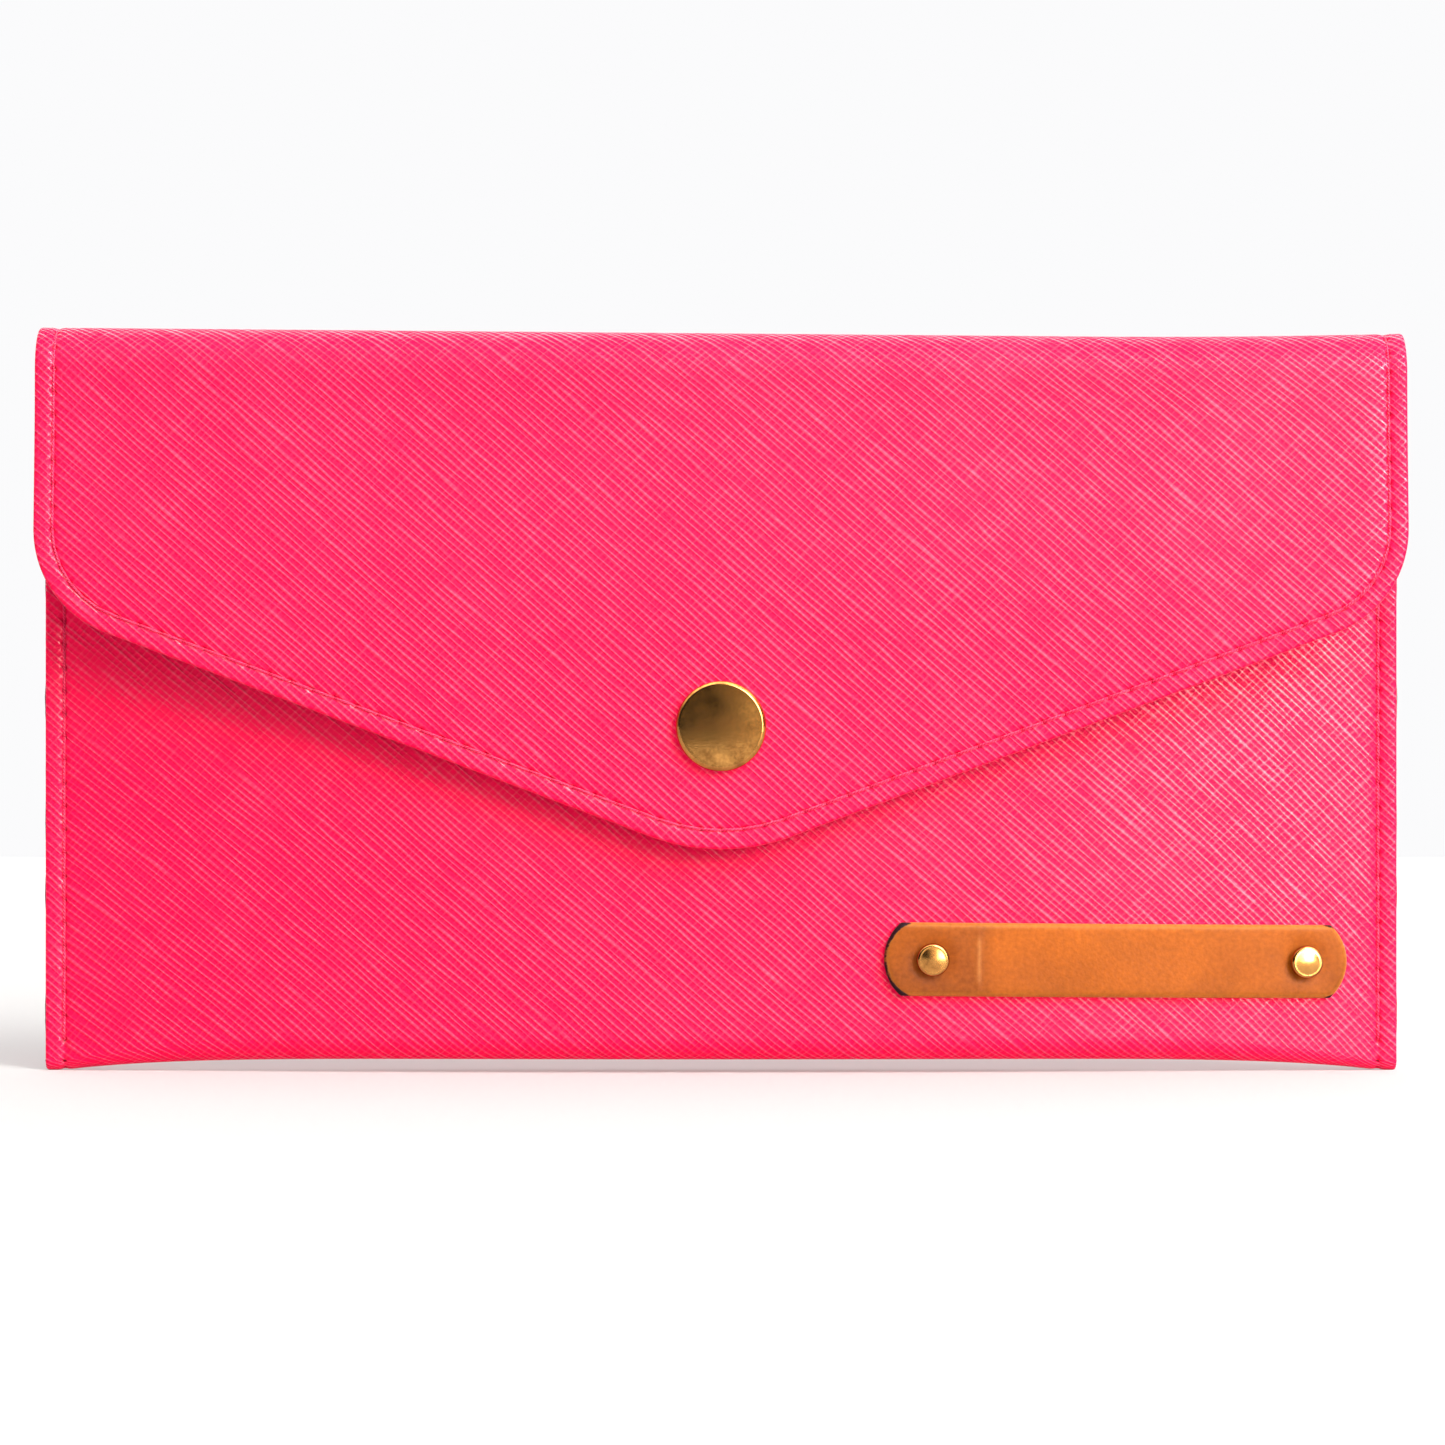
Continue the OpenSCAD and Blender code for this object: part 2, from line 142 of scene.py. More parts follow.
@dataclass(frozen=True)
class Finish:
    """A surface finish that becomes a material.

    Attributes:
        name: What the real surface is.
    """

    name: str

    def dress(self, add: Adder) -> dict[str, Feed]:
        """Adds the finish's nodes and returns what goes into the shader's inputs."""
        raise NotImplementedError

    def build(self) -> Material:
        """Returns the finish's material, which is made once."""
        known = bpy.data.materials.get(self.name)
        if known is not None:
            return known
        material = bpy.data.materials.new(self.name)
        material.use_nodes = True
        tree = material.node_tree
        tree.nodes.clear()
        add = partial(add_node, tree)
        shader = add("ShaderNodeBsdfPrincipled")
        add("ShaderNodeOutputMaterial", {"Surface": shader})
        feed(tree, shader, self.dress(add))
        return material


def band(add: Adder, where: Feed, period: float, low: float) -> Node:
    """Raises one ridge in each period along a coordinate.

    Args:
        add: Adds a node to the material's tree.
        where: The coordinate.
        period: The distance from one ridge to the next.
        low: The share of the half period that stays flat.

    Returns:
        The node that gives the ridge's height, from 0 to 1.
    """
    turns = add(MATH, {0: where, 1: 1 / period}, operation="MULTIPLY")
    swing = add(MATH, {0: turns, 1: 0.5}, operation="PINGPONG")
    ends = {"From Min": low / 2, "From Max": 0.5}
    return add(RANGE, {"Value": swing, **ends}, interpolation_type="SMOOTHSTEP")


@dataclass(frozen=True)
class CrossGrainLeather(Finish):
    """Split leather with a coloured coat, pressed hot with a plate of crossed fine ridges.

    The plate polishes the ridges' crests, so they catch the window as pale lines, while the small
    hollows between them stay matt and deep in colour. The crests' colour is also mixed paler, a
    painted highlight, and the needle holes are darkened, as painted shade.

    Attributes:
        colour: The coat in the hollows.
        ridge_colour: A paler colour mixed onto the ridges' crests, a painted highlight.
        pierced_colour: Painted shade inside a needle hole.
        pitch: Distance between the main ridges.
        cross_pitch: Distance between the crossing ridges.
        slant: Angle of the main ridges, falling to the right, in degrees.
        cross_slant: Angle of the crossing ridges, rising to the right, in degrees.
        stray: How far a main ridge wanders, as a share of its pitch.
        cross_stray: How far a crossing ridge wanders, as a share of its pitch.
        relief: Height of the ridges.
        pore: Size of the pores. Real ones are half as wide; these are drawn so that
            they show.
        cloud: Size of the soft patches of tone.
    """

    name: str = "cross_grain_coated_leather"
    colour: str = "#F90248"
    ridge_colour: str = "#FF7CA2"
    pierced_colour: str = "#24060E"
    pitch: float = 0.84 * MM
    cross_pitch: float = 0.86 * MM
    slant: float = 41.0
    cross_slant: float = 45.0
    stray: float = 0.65
    cross_stray: float = 0.7
    relief: float = 0.13 * MM
    pore: float = 0.385 * MM
    cloud: float = 26.3 * MM

    def ridges(
        self, add: Adder, place: Node, angle: float, pitch: float, wander: float, seed: float
    ) -> Node:
        """Makes one set of nearly parallel ridges that wander, swell and fade along their length.

        Args:
            add: Adds a node to the material's tree.
            place: The place on the flat sheet.
            angle: The ridges' angle to the sheet's width, in degrees, positive where they rise.
            pitch: The distance between ridges.
            wander: How far a ridge strays sideways, as a share of the pitch.
            seed: A shift that makes each set's noise its own.

        Returns:
            The node that gives the ridges' height, from 0 to 1.
        """
        turned = add(
            "ShaderNodeVectorRotate",
            {"Vector": place, "Angle": -math.radians(angle)},
            rotation_type="Z_AXIS",
        )
        noises = []
        for long, wide, shift, detail in (
            (22 * pitch, 1.9 * pitch, (seed, seed, seed), 2.0),
            (7 * pitch, 1.3 * pitch, (seed * 3, seed, 0.0), 1.0),
        ):
            drawn = {"Vector": turned, "Location": shift, "Scale": (1 / long, 1 / wide, 1.0)}
            mapped = add("ShaderNodeMapping", drawn)
            noises.append(add(NOISE, {"Vector": mapped, "Scale": 1.0, "Detail": detail}))
        reach = {"To Min": -wander * pitch, "To Max": wander * pitch}
        shift = add(RANGE, {"Value": noises[0], **reach})
        axes = add("ShaderNodeSeparateXYZ", {"Vector": turned})
        moved = add(MATH, {0: axes.outputs["Y"], 1: shift}, operation="ADD")
        ridge = band(add, moved, pitch, 0.26)
        strength = {"From Min": 0.3, "From Max": 0.62, "To Min": 0.5, "To Max": 1.0}
        fade = add(RANGE, {"Value": noises[1], **strength})
        return add(MATH, {0: ridge, 1: fade}, operation="MULTIPLY")

    def dress(self, add: Adder) -> dict[str, Feed]:
        """Makes crossed ridges with glossy crests and a painted highlight on them, soft patches of
        tone, and painted shade in the needle holes.
        """
        uv = add("ShaderNodeUVMap", uv_map="UVMap")
        main = self.ridges(add, uv, -self.slant, self.pitch, self.stray, 0.0)
        cross = self.ridges(add, uv, self.cross_slant, self.cross_pitch, self.cross_stray, 5.3)
        weaker = add(MATH, {0: cross, 1: 0.6}, operation="MULTIPLY")
        woven = add(MATH, {0: main, 1: weaker, 2: 0.2}, operation="SMOOTH_MAX")
        beads = add(MATH, {0: main, 1: cross}, operation="MULTIPLY")
        both = add(MATH, {0: beads, 1: 0.5, 2: woven}, operation="MULTIPLY_ADD")
        pores = add(NOISE, {"Vector": uv, "Scale": 1 / self.pore, "Detail": 2.0})
        relief = add(MATH, {0: pores, 1: 0.25, 2: both}, operation="MULTIPLY_ADD")
        clouds = add(NOISE, {"Vector": uv, "Scale": 1 / self.cloud, "Detail": 3.0})
        faint = {"From Min": 0.3, "From Max": 0.7, "To Min": -0.02, "To Max": 0.02}
        soft = add(RANGE, {"Value": clouds, **faint})
        # Painted highlight: the crests' colour is mixed paler, along with the soft patches of tone.
        crests = add(MATH, {0: both, 1: 2.2}, operation="POWER")
        painted_light_and_tone = {0: crests, 1: 0.08, 2: soft}
        tone = add(MATH, painted_light_and_tone, operation="MULTIPLY_ADD", use_clamp=True)
        coat_and_highlight = {FIRST: linear(self.colour), SECOND: linear(self.ridge_colour)}
        coat = add(MIX, {"Factor": tone, **coat_and_highlight}, data_type="RGBA")
        # Painted shade: near each needle hole the colour darkens to almost black.
        pierced = add("ShaderNodeAttribute", attribute_name="pierced").outputs["Fac"]
        hole_shade = {"Factor": pierced, FIRST: coat, SECOND: linear(self.pierced_colour)}
        bump = {"Height": relief, "Strength": 1.0, "Distance": self.relief}
        polish = {"From Min": 0.3, "From Max": 1.1, "To Min": 0.0, "To Max": 0.8}
        return {
            "Base Color": add(MIX, hole_shade, data_type="RGBA"),
            "Roughness": add(RANGE, {"Value": both, "To Min": 0.62, "To Max": 0.44}),
            "Normal": add("ShaderNodeBump", bump),
            "Coat Weight": add(RANGE, {"Value": both, **polish}),
            "Coat Roughness": 0.31,
            "Coat IOR": 1.5,
            "IOR": 1.5,
            "Specular IOR Level": 0.08,
        }


@dataclass(frozen=True)
class CutEdge(Finish):
    """The cut edge of coated split leather: a thin coloured skin over felted fibres.

    The skin keeps the edge bright from afar, and the fibres make it matt and ragged close up.

    Attributes:
        skin: The coat's edge.
        fibre: The felted fibres.
        skin_share: How deep the skin's colour goes, as a share of the thickness.
        tuft: Size of the tufts of fibre.
        relief: Height of the tufts.
    """

    name: str = "cut_leather_edge"
    skin: str = "#E01C50"
    fibre: str = "#7C2038"
    skin_share: float = 0.62
    tuft: float = 0.417 * MM
    relief: float = 0.12 * MM

    def dress(self, add: Adder) -> dict[str, Feed]:
        """Makes skin at the face side, then fibres that darken towards the back."""
        uv = add("ShaderNodeUVMap", uv_map="UVMap")
        depth = add("ShaderNodeAttribute", attribute_name="edge_depth").outputs["Fac"]
        tufts = add(NOISE, {"Vector": uv, "Scale": 1 / self.tuft, "Detail": 4.0})
        ragged = add(MATH, {0: tufts, 1: 0.5, 2: depth}, operation="MULTIPLY_ADD")
        ends = {"From Min": self.skin_share, "From Max": self.skin_share + 0.4}
        share = add(RANGE, {"Value": ragged, **ends}, interpolation_type="SMOOTHSTEP")
        layers = {"Factor": share, FIRST: linear(self.skin), SECOND: linear(self.fibre)}
        bump = {"Height": tufts, "Strength": 0.8, "Distance": self.relief}
        return {
            "Base Color": add(MIX, layers, data_type="RGBA"),
            "Normal": add("ShaderNodeBump", bump),
            "Roughness": 0.85,
        }


@dataclass(frozen=True)
class TwillCloth(Finish):
    """Thin polyester twill: fine diagonal ribs of twisted yarn.

    The ribs give the eye a dark cloth with a faint lustre that runs one way.

    Attributes:
        colour: The yarn.
        shade: The gaps between the ribs.
        rib: Distance from rib to rib. Real twill is about half as coarse, and is drawn
            so that its ribs show.
        slant: Angle of the ribs to the cloth's width, in degrees.
        slub: Length of the thick places in the yarn.
        relief: Height of the ribs.
    """

    name: str = "twill_lining"
    colour: str = "#45434A"
    shade: str = "#1E1D22"
    rib: float = 0.7 * MM
    slant: float = 63.0
    slub: float = 2.38 * MM
    relief: float = 0.08 * MM

    def dress(self, add: Adder) -> dict[str, Feed]:
        """Makes diagonal ribs, cut into single floats by the crossing yarn."""
        uv = add("ShaderNodeUVMap", uv_map="UVMap")
        turn = {"Vector": uv, "Angle": math.radians(-self.slant)}
        turned = add("ShaderNodeVectorRotate", turn, rotation_type="Z_AXIS")
        axes = add("ShaderNodeSeparateXYZ", {"Vector": turned})
        rib = band(add, axes.outputs["Y"], self.rib, 0.1)
        yarn = band(add, axes.outputs["X"], self.rib * 1.7, 0.05)
        weave = add(MATH, {0: yarn, 1: 0.35, 2: rib}, operation="MULTIPLY_ADD")
        slubs = add(NOISE, {"Vector": uv, "Scale": 1 / self.slub, "Detail": 3.0})
        # Painted shade: the gaps between the ribs take the dark shade colour, and the slubs vary
        # the tone.
        painted_light_and_tone = add(MATH, {0: slubs, 1: weave}, operation="MULTIPLY", use_clamp=True)
        yarns = {"Factor": painted_light_and_tone, FIRST: linear(self.shade), SECOND: linear(self.colour)}
        bump = {"Height": weave, "Strength": 0.9, "Distance": self.relief}
        return {
            "Base Color": add(MIX, yarns, data_type="RGBA"),
            "Normal": add("ShaderNodeBump", bump),
            "Roughness": 0.62,
            "Sheen Weight": 0.12,
            "Sheen Roughness": 0.4,
        }


@dataclass(frozen=True)
class TwistedThread(Finish):
    """Bonded polyester thread of three plies, with a waxy shine along each ply.

    Attributes:
        colour: The plies' crowns.
        shade: The grooves between the plies.
        twist: Length of thread in which a ply goes round once.
        relief: Depth of the grooves.
    """

    name: str = "twisted_thread"
    colour: str = "#FB2560"
    shade: str = "#D20C44"
    twist: float = 1.3 * MM
    relief: float = 0.08 * MM

    def dress(self, add: Adder) -> dict[str, Feed]:
        """Makes three plies that wind round the thread."""
        run, turn = (
            add("ShaderNodeAttribute", attribute_name=name).outputs["Fac"]
            for name in ("thread_run", "thread_turn")
        )
        wound = add(MATH, {0: run, 1: 1 / self.twist, 2: turn}, operation="MULTIPLY_ADD")
        ply = band(add, wound, 1 / 3, 0.05)
        tones = {"Factor": ply, FIRST: linear(self.shade), SECOND: linear(self.colour)}
        bump = {"Height": ply, "Strength": 0.9, "Distance": self.relief}
        return {
            "Base Color": add(MIX, tones, data_type="RGBA"),
            "Normal": add("ShaderNodeBump", bump),
            "Roughness": 0.5,
            "Specular IOR Level": 0.35,
        }


@dataclass(frozen=True)
class AgedBrass(Finish):
    """Drawn brass, darkened in a bath and buffed back.

    It gives the eye a mirror with a brown cloud in it: bright where buffed, dull in the film.

    Attributes:
        colour: The buffed metal.
        patina: The brown film that the buffing left.
        film: How much of the face the film covers, from 0 to 1.
        contrast: How far the cover strays from that, both ways.
        cloud: Size of the patches of film.
        pit: Size of the fine pits.
        mark: Width and length of a buffing mark.
        relief: Depth of the marks.
    """

    name: str = "antique_brass"
    colour: str = "#CE9752"
    patina: str = "#83552A"
    film: float = 0.5
    contrast: float = 0.35
    cloud: float = 2.38 * MM
    pit: float = 0.385 * MM
    mark: tuple[float, float] = (0.111 * MM, 3.33 * MM)
    relief: float = 0.012 * MM

    def dress(self, add: Adder) -> dict[str, Feed]:
        """Makes patches of film, buffing marks and fine pits."""
        place = add("ShaderNodeTexCoord").outputs["Object"]
        clouds = add(NOISE, {"Vector": place, "Scale": 1 / self.cloud, "Detail": 6.0})
        pits = add(NOISE, {"Vector": place, "Scale": 1 / self.pit, "Detail": 3.0})
        joined = add(MATH, {0: pits, 1: 0.45, 2: clouds}, operation="MULTIPLY_ADD")
        low, high = max(0.0, self.film - self.contrast), min(1.0, self.film + self.contrast)
        ends = {"From Min": 0.52, "From Max": 0.92, "To Min": low, "To Max": high}
        cover = add(RANGE, {"Value": joined, **ends})
        tones = {"Factor": cover, FIRST: linear(self.colour), SECOND: linear(self.patina)}
        wide, long = self.mark
        drawn = {"Vector": place, "Scale": (1 / long, 1 / long, 1 / wide)}
        brushed = add("ShaderNodeMapping", drawn)
        marks = add(NOISE, {"Vector": brushed, "Scale": 1.0, "Detail": 3.0})
        rubbed = add(MATH, {0: marks, 1: 0.4, 2: pits}, operation="MULTIPLY_ADD")
        bump = {"Height": rubbed, "Strength": 0.2, "Distance": self.relief}
        return {
            "Base Color": add(MIX, tones, data_type="RGBA"),
            "Roughness": add(RANGE, {"Value": cover, "To Min": 0.09, "To Max": 0.2}),
            "Normal": add("ShaderNodeBump", bump),
            "Metallic": 1.0,
        }


@dataclass(frozen=True)
class TannedLeather(Finish):
    """Smooth bark-tanned leather with a wax finish.

    It gives the eye cloudy tan with even pores, a painted highlight along the rim, a paler line
    along the bruised crease, painted shade and tone ramps along the strap, and darkness where the
    ends were burnt shut.

    Attributes:
        colour: The face under its wax.
        deep: The deeper parts of its clouds.
        pale: The painted highlight along the rim, and the paler crease line.
        burnt: The burnt ends.
        speckle: The darkest tint of the grain's fine speckle.
        cloud: Size of the clouds.
        pore: Size of the pores. Real ones are half as wide; these are drawn so that
            they show.
        grain: Size of the creases between the pores.
        relief: Depth of the pores.
    """

    name: str = "waxed_tan_leather"
    colour: str = "#C86814"
    deep: str = "#904812"
    pale: str = "#DC9145"
    burnt: str = "#241B1E"
    speckle: str = "#B8B0A8"
    cloud: float = 6.67 * MM
    pore: float = 0.385 * MM
    grain: float = 0.667 * MM
    relief: float = 0.03 * MM

    def dress(self, add: Adder) -> dict[str, Feed]:
        """Makes cloudy tone with painted shade and tone ramps, pores, a painted highlight along the
        rim with a paler crease line, and burnt ends.
        """
        uv = add("ShaderNodeUVMap", uv_map="UVMap")
        # Painted light: a highlight along the rim with a paler crease line, and painted shade with
        # tone ramps along the strap.
        waxed, rubbed, burn = (
            add("ShaderNodeAttribute", attribute_name=name).outputs["Fac"]
            for name in ("waxed", "rubbed", "burnt")
        )
        clouds = add(NOISE, {"Vector": uv, "Scale": 1 / self.cloud, "Detail": 6.0})
        pores = add("ShaderNodeTexVoronoi", {"Vector": uv, "Scale": 1 / self.pore})
        grain = add(NOISE, {"Vector": uv, "Scale": 1 / self.grain, "Detail": 4.0})
        cloudy = add(MATH, {0: clouds, 1: 0.8, 2: waxed}, operation="MULTIPLY_ADD")
        relief = add(MATH, {0: pores, 1: 0.6, 2: grain}, operation="MULTIPLY_ADD")
        ragged = add(MATH, {0: grain, 1: 0.7, 2: burn}, operation="MULTIPLY_ADD")
        tone = add(RANGE, {"Value": cloudy, "From Min": 0.35, "From Max": 1.15})
        ends = {"Value": ragged, "From Min": 0.75, "From Max": 1.05}
        burning = add(RANGE, ends, interpolation_type="SMOOTHSTEP")
        specks = {"Factor": grain, FIRST: linear(self.speckle), SECOND: linear("#FFFFFF")}
        mottled = add(MIX, specks, data_type="RGBA")
        colour: Feed = linear(self.deep)
        for share, layer, way in (
            (tone, linear(self.colour), "MIX"),
            (rubbed, linear(self.pale), "MIX"),
            (1.0, mottled, "MULTIPLY"),
            (burning, linear(self.burnt), "MIX"),
        ):
            laid = {"Factor": share, FIRST: colour, SECOND: layer}
            colour = add(MIX, laid, data_type="RGBA", blend_type=way)
        bump = {"Height": relief, "Strength": 0.5, "Distance": self.relief}
        return {
            "Base Color": colour,
            "Normal": add("ShaderNodeBump", bump),
            "Roughness": 0.5,
            "Specular IOR Level": 0.07,
        }


@dataclass(frozen=True)
class DrawnWire(Finish):
    """Hard drawn bronze wire, bright, with fine marks from the die that break up its shine.

    Attributes:
        colour: The bright metal.
        dull: The metal in a die mark.
        mark: Size of the die marks.
    """

    name: str = "drawn_spring_wire"
    colour: str = "#D8CDB4"
    dull: str = "#A79B80"
    mark: float = 0.333 * MM

    def dress(self, add: Adder) -> dict[str, Feed]:
        """Makes die marks in the tone and in the shine."""
        place = add("ShaderNodeTexCoord").outputs["Object"]
        marks = add(NOISE, {"Vector": place, "Scale": 1 / self.mark, "Detail": 2.0})
        tones = {"Factor": marks, FIRST: linear(self.dull), SECOND: linear(self.colour)}
        return {
            "Base Color": add(MIX, tones, data_type="RGBA"),
            "Roughness": add(RANGE, {"Value": marks, "To Min": 0.2, "To Max": 0.4}),
            "Metallic": 1.0,
        }


@dataclass(frozen=True)
class LightTable(Finish):
    """White translucent board, lit a little from below, so that the shadows on it stay pale.

    Attributes:
        colour: The board.
        glow: The light that comes through it.
        near_glow: The glow's strength in front.
        far_glow: The glow's strength behind.
        near_y: Where the glow starts to grow.
        far_y: Where it is strongest.
    """

    name: str = "light_table_board"
    colour: str = "#AAA9A8"
    glow: str = "#FFFCFA"
    near_glow: float = 0.19
    far_glow: float = 0.5
    near_y: float = 0.05
    far_y: float = 0.9

    def dress(self, add: Adder) -> dict[str, Feed]:
        """Makes a matt colour and its glow."""
        place = add("ShaderNodeTexCoord").outputs["Object"]
        axes = add("ShaderNodeSeparateXYZ", {"Vector": place})
        ends = {"Value": axes.outputs["Y"], "From Min": self.near_y, "From Max": self.far_y}
        glows = {"To Min": self.near_glow, "To Max": self.far_glow}
        return {
            "Base Color": linear(self.colour),
            "Roughness": 0.9,
            "Emission Color": linear(self.glow),
            "Emission Strength": add(RANGE, {**ends, **glows}),
        }


@dataclass(frozen=True)
class RoomCard(Finish):
    """The dark side of the room that shiny parts reflect, with a window far to the right.

    Attributes:
        glow: The room's light.
        bright: The room's brightness towards the right.
        dim_x: Where it starts to grow.
        bright_x: Where it is reached.
        window: The window's brightness.
        window_low: Where the window's light starts.
        window_high: Where it is full.
    """

    name: str = "room_card"
    glow: str = "#FFF6EC"
    bright: float = 1.4
    dim_x: float = -0.01
    bright_x: float = 0.19
    window: float = 46.0
    window_low: float = 0.35
    window_high: float = 0.75

    def dress(self, add: Adder) -> dict[str, Feed]:
        """Makes a glow that grows from left to right."""
        place = add("ShaderNodeTexCoord").outputs["Object"]
        axes = add("ShaderNodeSeparateXYZ", {"Vector": place})
        room, far = (
            add(
                RANGE,
                {"Value": axes.outputs["X"], "From Min": low, "From Max": high, "To Max": strength},
                interpolation_type=way,
            )
            for low, high, strength, way in (
                (self.dim_x, self.bright_x, self.bright, "SMOOTHSTEP"),
                (self.window_low, self.window_high, self.window, "LINEAR"),
            )
        )
        return {
            "Base Color": linear("#000000"),
            "Specular IOR Level": 0.0,
            "Emission Color": linear(self.glow),
            "Emission Strength": add(MATH, {0: room, 1: far}, operation="ADD"),
        }


PINK = CrossGrainLeather()
EDGE = CutEdge()
LINING = TwillCloth()
POCKET_CLOTH = TwillCloth("twill_pocket_cloth", "#5A585E", "#2C2B30", 0.55 * MM)
THREAD = TwistedThread()
GREY_THREAD = TwistedThread("grey_thread", "#4A484E", "#1E1D20")
BRASS = AgedBrass()
TAN = TannedLeather()
WIRE = DrawnWire()


class Slot(Enum):
    """The record's material slots."""

    PINK_LEATHER = "pink_leather"
    LINING = "lining_cloth"
    POCKETS = "pocket_cloth"
    LINING_THREAD = "lining_thread"
    PINK_THREAD = "pink_thread"
    BRASS = "aged_brass"
    SPRING = "spring_wire"
    TAN_LEATHER = "tan_leather"


class Body(Enum):
    """The bodies that the joints move."""

    POUCH = "pouch"
    FOLD = "fold"
    FLAP = "flap"


# ----- Pieces -----


def add_object(name: str, data: ID) -> Object:
    """Adds an object to the scene and returns it."""
    thing = bpy.data.objects.new(name, data)
    bpy.context.scene.collection.objects.link(thing)
    return thing


def smooth_mesh(
    name: str, points: Sequence[Sequence[float]], loops: Sequence[Sequence[int]], angle: float
) -> Mesh:
    """Makes a mesh that is shaded smooth, apart from edges that turn more than an angle.

    Args:
        name: The mesh's name.
        points: The places of its points.
        loops: The points round each face.
        angle: The angle, in degrees.

    Returns:
        The mesh.
    """
    mesh = bpy.data.meshes.new(name)
    mesh.from_pydata([tuple(point) for point in points], [], loops)
    mesh.polygons.foreach_set("use_smooth", np.ones(len(loops), bool))
    mesh.set_sharp_from_angle(angle=math.radians(angle))
    return mesh


def store(mesh: Mesh, name: str, values: Array) -> None:
    """Keeps one number for each of a mesh's points under a name that materials read."""
    mesh.attributes.new(name, "FLOAT", "POINT").data.foreach_set("value", values.astype(np.float32))


def dress(thing: Object, *finishes: Finish) -> Object:
    """Gives an object its materials in order, and returns the object."""
    for finish in finishes:
        thing.data.materials.append(finish.build())
    return thing


def mark(thing: Object, slot: Slot, *nodes: str) -> None:
    """Hides the nodes that a piece stands for, and logs the piece."""
    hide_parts(*nodes)
    log.info("made %s", thing.name)


def settle(thing: Object, body: Body, slot: Slot, *nodes: str) -> None:
    """Lets a piece ride on a body, and hides the nodes that it stands for."""
    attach(thing, body.value)
    mark(thing, slot, *nodes)


def unit(rows: Array) -> Array:
    """Scales each row of X, Y and Z to a length of 1."""
    return rows / np.linalg.norm(rows, axis=1)[:, None]


def facing(surface: Surface, x: Array, y: Array, step: float) -> Array:
    """Outward unit normals of a surface, from its places a small step away on each side."""
    across = surface(x + step, y) - surface(x - step, y)
    along = surface(x, y + step) - surface(x, y - step)
    return unit(np.cross(across, along))


# ----- The folded sheet -----


